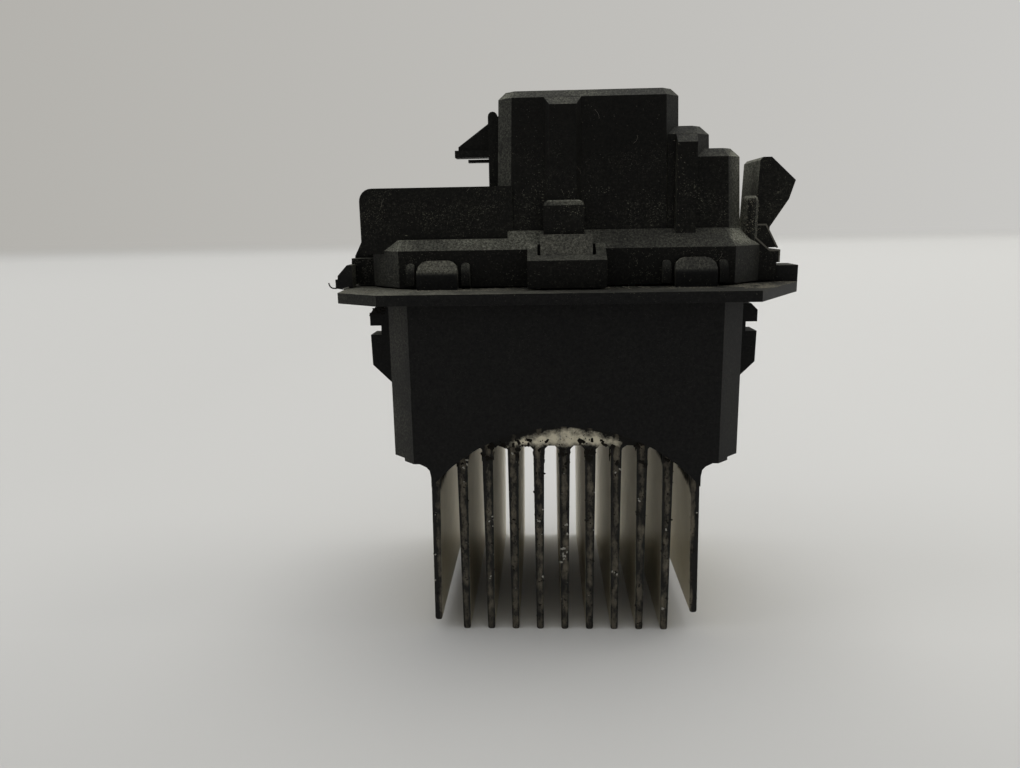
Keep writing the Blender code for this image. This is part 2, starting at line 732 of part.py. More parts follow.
def heat_sink_outline():
    """The comb that the casting shows from the front: a base plate over a row of fins."""
    outline = [(-SINK_BASE_HALF_X, SINK_BASE_TOP), (-SINK_BASE_HALF_X, FIN_ROOTS)]
    outline += fin_outline(-OUTER_FIN_X, -OUTER_FIN_X - OUTER_FIN_LEAN,
                           FIN_TIPS + LEFT_FIN_SHORTER, OUTER_FIN_THICKNESS, FIN_TIP_THICKNESS)
    for index in range(INNER_FIN_COUNT):
        x = (index - (INNER_FIN_COUNT - 1) / 2) * FIN_PITCH
        outline += fin_outline(x, x, FIN_TIPS, FIN_ROOT_THICKNESS, FIN_TIP_THICKNESS)
    outline += fin_outline(OUTER_FIN_X, OUTER_FIN_X + OUTER_FIN_LEAN,
                           FIN_TIPS + RIGHT_FIN_SHORTER, OUTER_FIN_THICKNESS, FIN_TIP_THICKNESS)
    outline += [(SINK_BASE_HALF_X, FIN_ROOTS), (SINK_BASE_HALF_X, SINK_BASE_TOP)]
    return outline


def board_post_places():
    return [(x, y) for x in (-BOARD_POST_X, BOARD_POST_X) for y in (-BOARD_POST_Y, BOARD_POST_Y)]


def make_heat_sink():
    half_depth = SINK_DEPTH / 2
    sink = outline_prism("sink", heat_sink_outline(), "XZ", -half_depth, half_depth)
    plan = corner_cut_outline(-SINK_BASE_HALF_X, SINK_BASE_HALF_X, -half_depth, half_depth,
                              SINK_BASE_CORNER, SINK_BASE_CORNER, SINK_BASE_CORNER,
                              SINK_BASE_CORNER)
    combine(sink, outline_prism("sink_plan", plan, "XY", FIN_TIPS - SINK_IN,
                                SINK_BASE_TOP + SINK_IN), "INTERSECT")
    for number, (x, y) in enumerate(board_post_places(), 1):
        join(sink, cylinder(f"board_post_{number}", BOARD_POST_RADIUS, x, y,
                            (SINK_BASE_TOP - SINK_IN, BOARD_POST_TOP)))
    join(sink, cylinder("clip_post", CLIP_POST_RADIUS, 0, TRANSISTOR_Y,
                        (SINK_BASE_TOP - SINK_IN, CLIP_BOTTOM - FIT_GAP)))
    hole = SCREW_RADIUS + FIT_GAP
    for number, (x, y) in enumerate(board_post_places(), 1):
        top = BOARD_TOP + FIT_GAP
        cut(sink, cylinder(f"board_hole_{number}", hole, x, y, (top - SCREW_LENGTH - FIT_GAP, top)))
    clip_top = CLIP_BOTTOM + CLIP_THICKNESS + FIT_GAP
    cut(sink, cylinder("clip_hole", hole, 0, TRANSISTOR_Y,
                       (clip_top - SCREW_LENGTH - FIT_GAP, clip_top)))
    return finish_part(sink, "heat_sink", "cast_aluminium")


# Lower housing

def skirt_outline():
    """The skirt from the front: straight sides, a level edge, then a bend down into the legs."""
    edge = SKIRT_BOTTOM - SKIRT_EDGE_DROP
    right = [
        (SKIRT_HALF_WIDTH, FLANGE_UNDERSIDE + SINK_IN),
        (SKIRT_HALF_WIDTH, SKIRT_BOTTOM),
        (SKIRT_INNER_X, edge),
        (LEG_BEND_X + SKIRT_EDGE_DROP * 2, edge),
        (LEG_BEND_X, edge - SKIRT_EDGE_DROP),
        ((LEG_BEND_X + LEG_X) / 2 - SKIRT_EDGE_DROP * 0.3, (edge + LEG_BEND_BOTTOM) / 2),
        (LEG_X, LEG_BEND_BOTTOM),
        (LEG_X, LEG_BOTTOM),
    ]
    left = [(-x, z) for x, z in reversed(right)]
    return right + left


def flange_outline():
    return [
        (FLANGE_FRONT_LEFT, FLANGE_FRONT),
        (FLANGE_FRONT_RIGHT, FLANGE_FRONT),
        (FLANGE_RIGHT, FLANGE_RIGHT_TIP_Y),
        (FLANGE_RIGHT, FLANGE_BACK - FLANGE_BACK_CORNER),
        (FLANGE_RIGHT - FLANGE_BACK_CORNER, FLANGE_BACK),
        (FLANGE_LEFT + FLANGE_BACK_CORNER, FLANGE_BACK),
        (FLANGE_LEFT, FLANGE_BACK - FLANGE_BACK_CORNER),
        (FLANGE_LEFT, FLANGE_LEFT_FLARE_Y),
        (FLANGE_LEFT_TIP_X, FLANGE_LEFT_TIP_Y),
    ]


def lug_outline(side):
    """A snap lug from the front: the duct's sheet edge lies in its slot, over a ramp."""
    inner = SKIRT_HALF_WIDTH - SINK_IN
    slot_bottom = LUG_SLOT_TOP - LUG_SLOT_HEIGHT
    points = [
        (inner, LUG_TOP),
        (LUG_OUT - LUG_TOP_CHAMFER, LUG_TOP),
        (LUG_OUT, LUG_TOP - LUG_TOP_CHAMFER),
        (LUG_OUT, LUG_SLOT_TOP),
        (LUG_NECK_OUT, LUG_SLOT_TOP),
        (LUG_NECK_OUT, slot_bottom),
        (LUG_OUT, slot_bottom),
        (LUG_RAMP_OUT, LUG_RAMP_TOP),
        (inner, LUG_RAMP_FOOT),
    ]
    return [(side * x, z) for x, z in points]


def make_hook(number, x, side):
    """A hook beside the cover's wall: side is -1 on the front and 1 on the back."""
    wall = COVER_FRONT if side < 0 else COVER_BACK
    near = wall + side * FIT_GAP
    return ramped_block(f"hook_{number}", (x - HOOK_WIDTH / 2, x + HOOK_WIDTH / 2),
                        near, near + side * HOOK_THICKNESS, FLANGE_TOP - SINK_IN, HOOK_TOP,
                        HOOK_ROUNDING, HOOK_RAMP_HEIGHT, HOOK_RAMP_DEPTH)


def make_wedge():
    back = COVER_FRONT - FIT_GAP / 2
    front = back - WEDGE_DEPTH
    profile = [
        (front, FLANGE_TOP - SINK_IN),
        (front, WEDGE_RAMP_FOOT),
        (front + WEDGE_RAMP_DEPTH, WEDGE_TOP),
        (back, WEDGE_TOP),
        (back, FLANGE_TOP - SINK_IN),
    ]
    return outline_prism("wedge", profile, "YZ", WEDGE_LEFT, WEDGE_RIGHT)


def make_left_nub():
    profile = [
        (LEFT_NUB_IN, FLANGE_TOP - SINK_IN),
        (LEFT_NUB_OUT, FLANGE_TOP),
        (LEFT_NUB_OUT, LEFT_NUB_BAR_TOP),
        (LEFT_NUB_OUT + LEFT_NUB_STEP, LEFT_NUB_BAR_TOP),
        (LEFT_NUB_OUT + LEFT_NUB_STEP, LEFT_NUB_BAR_TOP + LEFT_NUB_RISE),
        (LEFT_NUB_OUT + LEFT_NUB_SLOPE, LEFT_NUB_TOP),
        (LEFT_NUB_IN, LEFT_NUB_TOP),
    ]
    return outline_prism("left_nub", profile, "XZ", LEFT_NUB_FRONT,
                         LEFT_NUB_FRONT + LEFT_NUB_DEPTH)


def stop_rib_shapes():
    """Upright ribs inside the skirt. Their lower ends stop the heat sink's base."""
    top = FLANGE_UNDERSIDE + SINK_IN
    half = STOP_RIB_THICKNESS / 2
    shapes = []
    for side in (-1, 1):
        for y in (-STOP_RIB_SIDE_Y, STOP_RIB_SIDE_Y):
            inner = side * (SKIRT_INNER_X - STOP_RIB_PROUD)
            outer = side * (SKIRT_INNER_X + SINK_IN)
            shapes.append(box("side_rib", (min(inner, outer), max(inner, outer)),
                              (y - half, y + half), (STOP_RIB_BOTTOM, top)))
        for x in (-STOP_RIB_FACE_X, STOP_RIB_FACE_X):
            inner = side * (SKIRT_INNER_Y - STOP_RIB_PROUD)
            outer = side * (SKIRT_INNER_Y + SINK_IN)
            shapes.append(box("face_rib", (x - half, x + half),
                              (min(inner, outer), max(inner, outer)), (STOP_RIB_BOTTOM, top)))
    return shapes


def make_lower_housing():
    depth = SKIRT_HALF_DEPTH
    housing = outline_prism("skirt", skirt_outline(), "XZ", -depth, depth)
    plan = corner_cut_outline(-SKIRT_HALF_WIDTH, SKIRT_HALF_WIDTH, -depth, depth,
                              SKIRT_CORNER, SKIRT_CORNER, SKIRT_CORNER, SKIRT_CORNER)
    below = LEG_BOTTOM - SINK_IN
    combine(housing, outline_prism("skirt_plan", plan, "XY", below, FLANGE_TOP), "INTERSECT")
    join(housing, outline_prism("flange", flange_outline(), "XY", FLANGE_UNDERSIDE, FLANGE_TOP))
    for side in (-1, 1):
        join(housing, outline_prism("lug", lug_outline(side), "XZ", -LUG_WIDTH / 2, LUG_WIDTH / 2))

    # The pocket is open below, where the heat sink goes in, and its roof is the flange
    pocket = corner_cut_outline(-SKIRT_INNER_X, SKIRT_INNER_X, -SKIRT_INNER_Y, SKIRT_INNER_Y,
                                INNER_CORNER, INNER_CORNER, INNER_CORNER, INNER_CORNER)
    cut(housing, outline_prism("pocket", pocket, "XY", below - SINK_IN, FLANGE_UNDERSIDE))
    mouth_front = COVER_FRONT + COVER_WALL
    mouth_back = COVER_BACK - COVER_WALL
    mouth_x = SKIRT_INNER_X - STOP_RIB_PROUD
    cut(housing, box("mouth", (-mouth_x, mouth_x), (mouth_front, mouth_back),
                     (FLANGE_UNDERSIDE - SINK_IN, FLANGE_TOP + SINK_IN)))
    arch = cylinder("arch", ARCH_RADIUS, 0, 0, (-SKIRT_HALF_DEPTH * 1.5, SKIRT_HALF_DEPTH * 1.5),
                    steps=72)
    arch.data.transform(Matrix.Rotation(math.radians(90), 4, "X"))
    arch.data.transform(Matrix.Translation((0, 0, ARCH_TOP - ARCH_RADIUS)))
    cut(housing, arch)

    # The side walls end at the shoulder. Only the long walls carry the legs.
    reach = SKIRT_HALF_WIDTH + SINK_IN
    cut(housing, box("side_opening", (-reach, reach), (-SKIRT_INNER_Y, SKIRT_INNER_Y),
                     (below - SINK_IN, SKIRT_BOTTOM)))
    join(housing, *stop_rib_shapes())

    places = [(HOOK_LEFT_X, -1), (HOOK_RIGHT_X, -1), (HOOK_LEFT_X, 1), (HOOK_RIGHT_X, 1)]
    for number, (x, side) in enumerate(places, 1):
        join(housing, make_hook(number, x, side))
    join(housing, make_wedge(), make_left_nub())
    join(housing, box("right_nub", (RIGHT_NUB_LEFT, RIGHT_NUB_RIGHT),
                      (RIGHT_NUB_FRONT, RIGHT_NUB_FRONT + RIGHT_NUB_DEPTH),
                      (FLANGE_TOP - SINK_IN, RIGHT_NUB_TOP)))
    return finish_part(housing, "lower_housing", "housing_nylon")


# Upper cover

def cover_base():
    plan = corner_cut_outline(COVER_LEFT, COVER_RIGHT, COVER_FRONT, COVER_BACK,
                              COVER_CORNER, COVER_CORNER, COVER_BACK_CORNER, COVER_BACK_CORNER)
    base = outline_prism("cover_base", plan, "XY", COVER_FOOT, COVER_TOP)
    chamfer_top(base, COVER_TOP_CHAMFER)
    over = COVER_RIGHT - COVER_LEFT
    low_side = box("low_side", (COVER_LEFT - SINK_IN, COVER_LOW_SIDE_X),
                   (COVER_FRONT - SINK_IN, COVER_BACK + SINK_IN), (COVER_LOW_TOP, COVER_TOP + over))
    return cut(base, low_side)


def motor_block():
    right = TOWER_LEFT + TOWER_CORNER + FIT_GAP
    centre = (MOTOR_LEFT + MOTOR_ROUNDING, MOTOR_TOP - MOTOR_ROUNDING)
    outline = [(MOTOR_LEFT, MOTOR_FOOT)]
    outline += arc(centre, MOTOR_ROUNDING, 180, 90, 2 * CORNER_STEPS)
    outline += [(right, MOTOR_TOP), (right, MOTOR_FOOT)]
    return outline_prism("motor_block", outline, "XZ", MOTOR_FRONT, MOTOR_BACK)


def tower_block():
    foot = COVER_LOW_TOP - SINK_IN
    plan = corner_cut_outline(TOWER_LEFT, TOWER_RIGHT, TOWER_FRONT, TOWER_BACK,
                              TOWER_CORNER, TOWER_CORNER, TOWER_CORNER, TOWER_CORNER)
    tower = outline_prism("tower", plan, "XY", foot, TOWER_TOP)
    taper_towards_top(tower, TOWER_DRAFT)
    return chamfer_top(tower, TOWER_TOP_CHAMFER)


def step_block(name, right, back, top):
    foot = COVER_LOW_TOP - SINK_IN
    left = (TOWER_LEFT + TOWER_RIGHT) / 2
    plan = corner_cut_outline(left, right, TOWER_FRONT + STEP_SETBACK, back,
                              0.0, STEP_CORNER, STEP_CORNER, 0.0)
    step = outline_prism(name, plan, "XY", foot, top)
    half_width = (right - left) / 2
    for vertex in step.data.vertices:
        if vertex.co.x > left + half_width:
            vertex.co.x -= STEP_DRAFT * (vertex.co.z - foot)
        inset = TOWER_DRAFT * (vertex.co.z - foot)
        vertex.co.y += inset if vertex.co.y < (TOWER_FRONT + back) / 2 else -inset
    return chamfer_top(step, STEP_TOP_CHAMFER)


def front_rib(name, left, right, flank, proud, face, top, chamfer):
    """An upright rib on a drafted front wall. Its top runs on down the wall's own chamfer."""
    foot = COVER_LOW_TOP - SINK_IN
    plan = [
        (left + flank, face - proud),
        (right - flank, face - proud),
        (right, face),
        (right, face + 2 * proud),
        (left, face + 2 * proud),
        (left, face),
    ]
    rib = outline_prism(name, plan, "XY", foot, top)
    for vertex in rib.data.vertices:
        vertex.co.y += TOWER_DRAFT * (vertex.co.z - foot)
    top_face = face + TOWER_DRAFT * (top - foot)
    profile = [
        (face - 2 * proud, foot - SINK_IN),
        (face - 2 * proud, top - chamfer - 2 * proud - (top_face - face)),
        (top_face + chamfer * 0.9, top - chamfer * 0.1),
        (top_face + 3 * proud, top - chamfer),
        (top_face + 3 * proud, foot - SINK_IN),
    ]
    reach = 2 * proud
    below_slope = outline_prism(name + "_slope", profile, "YZ", left - reach, right + reach)
    return combine(rib, below_slope, "INTERSECT")


def pocket_shapes():
    """The guard in front of the cover that the housing's wedge stands in."""
    inner_y = COVER_FRONT + SINK_IN
    profile = [
        (inner_y, COVER_FOOT),
        (POCKET_FRONT, COVER_FOOT),
        (POCKET_FRONT, POCKET_PLATE_TOP),
        (COVER_FRONT, POCKET_WALL_TOP - SINK_IN / 2),
        (inner_y, POCKET_WALL_TOP - SINK_IN / 2),
    ]
    guard = outline_prism("guard", profile, "YZ", POCKET_LEFT, POCKET_RIGHT)
    space = box("guard_space", (POCKET_LEFT + POCKET_WALL, POCKET_RIGHT - POCKET_WALL),
                (POCKET_FRONT + POCKET_WALL, COVER_FRONT + FIT_GAP * 0.6),
                (COVER_FOOT - SINK_IN, POCKET_WALL_TOP + SINK_IN))
    stop = box("stop", (STOP_LEFT, STOP_RIGHT), (STOP_FRONT, TOWER_FRONT + SINK_IN),
               (COVER_LOW_TOP - COVER_WALL, STOP_TOP))
    soften(stop, [("top", "front"), ("top", "left"), ("top", "right")], STOP_ROUNDING, 2)
    return guard, space, stop


def ear_shapes():
    """Two small ears beside each of the housing's hooks."""
    shapes = []
    for side, wall in ((-1, COVER_FRONT), (1, COVER_BACK)):
        for x in (HOOK_LEFT_X, HOOK_RIGHT_X):
            for hand in (-1, 1):
                near = x + hand * (HOOK_WIDTH / 2 + EAR_SIDE_GAP)
                far = near + hand * EAR_THICKNESS
                shapes.append(ramped_block("ear", (min(near, far), max(near, far)),
                                           wall - side * SINK_IN, wall + side * EAR_PROUD,
                                           COVER_FOOT + FIT_GAP, EAR_TOP, EAR_ROUNDING,
                                           EAR_RAMP_HEIGHT, EAR_RAMP_DEPTH))
    return shapes


def nose_shapes():
    """The latch nose for the supply plug: a plate on the tower's side, a shelf and its gusset."""
    rise = NOSE_PLATE_TOP - COVER_LOW_TOP
    wall_x = TOWER_LEFT + TOWER_DRAFT * rise
    plate_left = TOWER_LEFT - NOSE_PLATE_THICKNESS + TOWER_DRAFT * rise / 2
    back = NOSE_FRONT + NOSE_DEPTH
    plate_foot = MOTOR_TOP - SINK_IN
    radius = NOSE_PLATE_THICKNESS / 2
    shoulder = NOSE_PLATE_TOP - radius
    plate_outline = [(plate_left, plate_foot)]
    plate_outline += arc((plate_left + radius, shoulder), radius, 180, 0, 2 * CORNER_STEPS)
    plate_outline += [(wall_x + SINK_IN, shoulder), (wall_x + SINK_IN, plate_foot)]
    plate = outline_prism("nose_plate", plate_outline, "XZ", NOSE_FRONT, back)
    inside = plate_left + SINK_IN
    shelf = box("nose_shelf", (NOSE_OUT, inside), (NOSE_FRONT, NOSE_FRONT + NOSE_SHELF_DEPTH),
                (NOSE_SHELF_TOP - NOSE_SHELF_THICKNESS, NOSE_SHELF_TOP))
    gusset_outline = [
        (inside, NOSE_SHELF_TOP - SINK_IN),
        (NOSE_OUT + SINK_IN, NOSE_SHELF_TOP - SINK_IN),
        (NOSE_OUT + SINK_IN, NOSE_SHELF_TOP + NOSE_TIP_HEIGHT),
        (plate_left, NOSE_GUSSET_TOP),
        (inside, NOSE_GUSSET_TOP),
    ]
    middle = NOSE_FRONT + NOSE_SHELF_DEPTH / 2
    gusset = outline_prism("nose_gusset", gusset_outline, "XZ", middle - NOSE_GUSSET_THICKNESS / 2,
                           middle + NOSE_GUSSET_THICKNESS / 2)
    bar_top = NOSE_SHELF_TOP - NOSE_SHELF_THICKNESS / 2
    bar = box("nose_bar", (NOSE_BAR_OUT, inside), (back - NOSE_BAR_DEPTH, back),
              (bar_top - NOSE_BAR_THICKNESS, bar_top))
    return plate, shelf, gusset, bar


def right_side_shapes():
    """The claw, the pip, the ramp strip and the catch at the right end of the cover.

    The catch has a leg beside the housing's nub.
    """
    claw_outline = [
        (CLAW_LEFT, CLAW_FOOT),
        (CLAW_NECK_X, CLAW_FOOT),
        (CLAW_NECK_X, CLAW_NECK_Z),
        (CLAW_TIP_LOW_X, CLAW_TIP_LOW_Z),
        (CLAW_TIP_X, CLAW_TIP_Z),
        (CLAW_TOP_RIGHT, CLAW_TOP),
        (CLAW_TOP_LEFT + SINK_IN, CLAW_TOP),
        (CLAW_TOP_LEFT, CLAW_TOP - SINK_IN),
    ]
    claw = outline_prism("claw", claw_outline, "XZ", CLAW_FRONT, CLAW_FRONT + CLAW_DEPTH)
    pip = turned("pip", [(0.0, PIP_TOP), (PIP_RADIUS * 0.6, PIP_TOP - PIP_RADIUS * 0.05),
                         (PIP_RADIUS * 0.9, PIP_TOP - PIP_RADIUS * 0.3),
                         (PIP_RADIUS, PIP_TOP - PIP_RADIUS * 0.7),
                         (PIP_RADIUS, COVER_LOW_TOP - COVER_WALL),
                         (0.0, COVER_LOW_TOP - COVER_WALL)], PIP_X, PIP_Y, 12)
    left = COVER_RIGHT - COVER_WALL
    ramp_outline = [
        (left, RAMP_TOP),
        (RAMP_KNEE_X, RAMP_TOP),
        (RAMP_TIP_X, RAMP_TIP_Z),
        (RAMP_TIP_X - RAMP_THICKNESS, RAMP_TIP_Z),
        (left, RAMP_TOP - 2 * RAMP_THICKNESS),
    ]
    ramp = outline_prism("ramp", ramp_outline, "XZ", RAMP_FRONT, CLAW_FRONT + SINK_IN)
    leg_right = RIGHT_NUB_LEFT - FIT_GAP
    catch_outline = [
        (left, CATCH_SHOULDER),
        (CATCH_KNEE_X, CATCH_TOP),
        (CATCH_RIGHT, CATCH_TOP),
        (CATCH_RIGHT, CATCH_BOTTOM),
        (leg_right, CATCH_BOTTOM),
        (leg_right, COVER_FOOT),
        (left, COVER_FOOT),
    ]
    catch = outline_prism("catch", catch_outline, "XZ", CATCH_FRONT, CATCH_BACK)
    return claw, pip, ramp, catch


def left_side_shapes():
    """The catch at the left end of the cover, and the gusset over it."""
    inside = COVER_LEFT + COVER_WALL / 2
    catch = box("left_catch", (LEFT_CATCH_OUT, inside), (LEFT_CATCH_FRONT, LEFT_CATCH_BACK),
                (COVER_FOOT, LEFT_CATCH_TOP))
    gusset_outline = [
        (MOTOR_LEFT + SINK_IN, LEFT_CATCH_TOP - SINK_IN),
        (LEFT_GUSSET_OUT, LEFT_CATCH_TOP - SINK_IN),
        (LEFT_GUSSET_OUT, LEFT_CATCH_TOP + FIT_GAP),
        (MOTOR_LEFT - SINK_IN * 2, LEFT_GUSSET_TOP),
        (MOTOR_LEFT + SINK_IN, LEFT_GUSSET_TOP),
    ]
    middle = (LEFT_CATCH_FRONT + LEFT_CATCH_BACK) / 2
    gusset = outline_prism("left_gusset", gusset_outline, "XZ", middle - COVER_WALL, middle)
    return catch, gusset


def inner_corner(width, wall):
    """The width of a cut corner on the inside of a wall that is equally thick all round."""
    return width - wall * (2 - math.sqrt(2))


def cover_hollows():
    """The hollow under the cover, up into each of the blocks that stand on it."""
    front = COVER_FRONT + COVER_WALL
    back = COVER_BACK - COVER_WALL
    below = COVER_FOOT - SINK_IN
    high_ceiling = COVER_TOP - COVER_WALL
    split = TOWER_LEFT + COVER_WALL
    low_plan = corner_cut_outline(COVER_LEFT + COVER_WALL, split + SINK_IN, front, back,
                                  inner_corner(COVER_CORNER, COVER_WALL), 0.0, 0.0,
                                  inner_corner(COVER_BACK_CORNER, COVER_WALL))
    low = outline_prism("low_hollow", low_plan, "XY", below, MOTOR_CEILING)
    inset = COVER_TOP_CHAMFER - COVER_WALL / 2
    wall = COVER_WALL + inset
    high_plan = corner_cut_outline(split, COVER_RIGHT - wall, front + inset, back - inset,
                                   0.0, inner_corner(COVER_CORNER, wall),
                                   inner_corner(COVER_BACK_CORNER, wall), 0.0)
    high = outline_prism("high_hollow", high_plan, "XY", below, high_ceiling)
    inner_front = TOWER_FRONT + COVER_WALL + TOWER_DRAFT * (TOWER_CEILING - COVER_LOW_TOP)
    tower = box("tower_hollow", (split, TOWER_RIGHT - COVER_WALL),
                (inner_front, TOWER_BACK - COVER_WALL),
                (high_ceiling - SINK_IN, TOWER_CEILING))
    step = box("step_hollow", (TOWER_RIGHT - COVER_WALL - SINK_IN, STEP_2_RIGHT - 2 * COVER_WALL),
               (inner_front, STEP_2_BACK - COVER_WALL),
               (high_ceiling - SINK_IN, STEP_2_TOP - STEP_TOP_CHAMFER - COVER_WALL))
    motor_x, motor_y = motor_socket_space()
    beside = box("beside_motor_socket", (motor_x[1] + COVER_WALL, TOWER_LEFT - COVER_WALL),
                 motor_y, (MOTOR_CEILING - SINK_IN, MOTOR_TOP - COVER_WALL))
    return low, high, tower, step, beside


def motor_socket_space():
    """Inside of the motor socket: its low and high values in X and in Y."""
    return ((MOTOR_LEFT + COVER_WALL, MOTOR_SOCKET_RIGHT),
            (MOTOR_FRONT + COVER_WALL, MOTOR_BACK - COVER_WALL))


def tower_socket_space():
    """Inside of the supply socket: its low and high values in X and in Y."""
    inset = COVER_WALL + TOWER_DRAFT * (TOWER_TOP - COVER_LOW_TOP)
    return (TOWER_LEFT + inset, TOWER_RIGHT - inset), (TOWER_FRONT + inset, TOWER_BACK - inset)


def terminals():
    """Every terminal: name, middle in X and Y, size in X and Y, top and socket floor."""
    socket_middle_y = (MOTOR_FRONT + MOTOR_BACK) / 2
    rows = [
        ("motor_blade_1", MOTOR_BLADE_X, socket_middle_y - MOTOR_BLADE_PITCH / 2,
         BLADE_THICKNESS, BLADE_WIDTH, MOTOR_BLADE_TOP, MOTOR_SOCKET_FLOOR),
        ("motor_blade_2", MOTOR_BLADE_X, socket_middle_y + MOTOR_BLADE_PITCH / 2,
         BLADE_THICKNESS, BLADE_WIDTH, MOTOR_BLADE_TOP, MOTOR_SOCKET_FLOOR),
        ("supply_blade_1", SUPPLY_BLADE_1_X, SUPPLY_BLADE_Y, BLADE_WIDTH, BLADE_THICKNESS,
         SUPPLY_BLADE_TOP, TOWER_SOCKET_FLOOR),
        ("supply_blade_2", SUPPLY_BLADE_2_X, SUPPLY_BLADE_Y, BLADE_WIDTH, BLADE_THICKNESS,
         SUPPLY_BLADE_TOP, TOWER_SOCKET_FLOOR),
    ]
    for index in range(PIN_COUNT):
        rows.append((f"signal_pin_{index + 1}", PIN_FIRST_X + index * PIN_PITCH, SUPPLY_BLADE_Y,
                     PIN_SIZE, PIN_SIZE, PIN_TOP, TOWER_SOCKET_FLOOR))
    return rows


def make_upper_cover():
    cover = cover_base()
    join(cover, motor_block(), tower_block())
    join(cover, step_block("step_1", STEP_1_RIGHT, STEP_1_BACK, STEP_1_TOP))
    join(cover, step_block("step_2", STEP_2_RIGHT, STEP_2_BACK, STEP_2_TOP))
    join(cover, front_rib("key_rib", KEY_RIB_LEFT, KEY_RIB_RIGHT, KEY_RIB_FLANK, KEY_RIB_PROUD,
                          TOWER_FRONT, TOWER_TOP, TOWER_TOP_CHAMFER))
    join(cover, front_rib("step_rib", STEP_RIB_LEFT, STEP_RIB_RIGHT, STEP_RIB_FLANK,
                          STEP_RIB_PROUD, TOWER_FRONT + STEP_SETBACK, STEP_1_TOP,
                          STEP_TOP_CHAMFER))
    join(cover, *nose_shapes())
    join(cover, *right_side_shapes())
    join(cover, *left_side_shapes())
    guard, guard_space, stop = pocket_shapes()
    join(cover, guard)
    cut(cover, guard_space)
    join(cover, stop, *ear_shapes())
    cut(cover, *cover_hollows())

    motor_x, motor_y = motor_socket_space()
    cut(cover, box("motor_socket", motor_x, motor_y, (MOTOR_SOCKET_FLOOR, MOTOR_TOP + SINK_IN)))
    tower_x, tower_y = tower_socket_space()
    cut(cover, box("tower_socket", tower_x, tower_y, (TOWER_SOCKET_FLOOR, TOWER_TOP + SINK_IN)))
    for name, x, y, size_x, size_y, _, floor in terminals():
        half_x = size_x / 2 + FIT_GAP
        half_y = size_y / 2 + FIT_GAP
        cut(cover, box("slot_" + name, (x - half_x, x + half_x), (y - half_y, y + half_y),
                       (floor - COVER_WALL - SINK_IN, floor + SINK_IN)))
    return finish_part(cover, "upper_cover", "cover_nylon")


# Electronics

def make_circuit_board():
    plan = corner_cut_outline(-BOARD_HALF_X, BOARD_HALF_X, -BOARD_HALF_Y, BOARD_HALF_Y,
                              SINK_BASE_CORNER, SINK_BASE_CORNER, SINK_BASE_CORNER,
                              SINK_BASE_CORNER)
    board = outline_prism("board", plan, "XY", BOARD_UNDERSIDE, BOARD_TOP)
    for number, (x, y) in enumerate(board_post_places(), 1):
        cut(board, cylinder(f"board_bore_{number}", SCREW_RADIUS + FIT_GAP, x, y,
                            (BOARD_UNDERSIDE - SINK_IN, BOARD_TOP + SINK_IN)))
    return finish_part(board, "circuit_board", "board_green")


def make_screw(name, x, y, seat):
    """A pan head on a plain shank. Its head lies on the seat."""
    head_bottom = seat + FIT_GAP
    head_top = head_bottom + SCREW_HEAD_HEIGHT
    tip = seat - SCREW_LENGTH + SCREW_HEAD_HEIGHT
    profile = [
        (0.0, head_top),
        (SCREW_HEAD_RADIUS * 0.7, head_top),
        (SCREW_HEAD_RADIUS, head_top - SCREW_HEAD_HEIGHT * 0.5),
        (SCREW_HEAD_RADIUS, head_bottom),
        (SCREW_RADIUS, head_bottom),
        (SCREW_RADIUS, tip + SCREW_RADIUS),
        (0.0, tip),
    ]
    screw = turned(name + "_form", profile, x, y, 12)
    return finish_part(screw, name, "zinc_steel")


def make_transistor(number, x):
    """A power transistor on its back: a moulded body, a metal tab behind, three leads in front."""
    half = TRANSISTOR_WIDTH / 2
    body_front = TRANSISTOR_Y - TRANSISTOR_BODY_LENGTH / 2
    body_back = TRANSISTOR_Y + TRANSISTOR_BODY_LENGTH / 2
    body = box("transistor_body", (x - half, x + half), (body_front, body_back),
               (TRANSISTOR_BOTTOM, TRANSISTOR_TOP))
    join(body, box("transistor_tab", (x - half * 0.98, x + half * 0.98),
                   (body_back - SINK_IN, body_back + TRANSISTOR_TAB_LENGTH),
                   (TRANSISTOR_BOTTOM + SINK_IN / 10, TRANSISTOR_BOTTOM + TRANSISTOR_TAB_THICKNESS)))
    size = TRANSISTOR_LEAD_SIZE
    lead_z = TRANSISTOR_BOTTOM + TRANSISTOR_HEIGHT / 2
    tip = body_front - TRANSISTOR_LEAD_REACH
    bend = [
        (body_front + SINK_IN, lead_z),
        (tip, lead_z),
        (tip, BOARD_UNDERSIDE - FIT_GAP),
        (tip + size, BOARD_UNDERSIDE - FIT_GAP),
        (tip + size, lead_z + size),
        (body_front + SINK_IN, lead_z + size),
    ]
    for index in (-1, 0, 1):
        lead_x = x + index * TRANSISTOR_LEAD_PITCH
        join(body, outline_prism("transistor_lead", bend, "YZ", lead_x - size / 2,
                                 lead_x + size / 2))
    return finish_part(body, f"transistor_{number}", "epoxy_black")


def make_thermal_pad(number, x):
    half = TRANSISTOR_WIDTH / 2 + PAD_MARGIN
    front = TRANSISTOR_Y - TRANSISTOR_BODY_LENGTH / 2 - PAD_MARGIN
    back = TRANSISTOR_Y + TRANSISTOR_BODY_LENGTH / 2 + TRANSISTOR_TAB_LENGTH + PAD_MARGIN
    pad = box("pad", (x - half, x + half), (front, back), (PAD_BOTTOM, PAD_BOTTOM + PAD_THICKNESS))
    return finish_part(pad, f"thermal_pad_{number}", "silicone_grey")


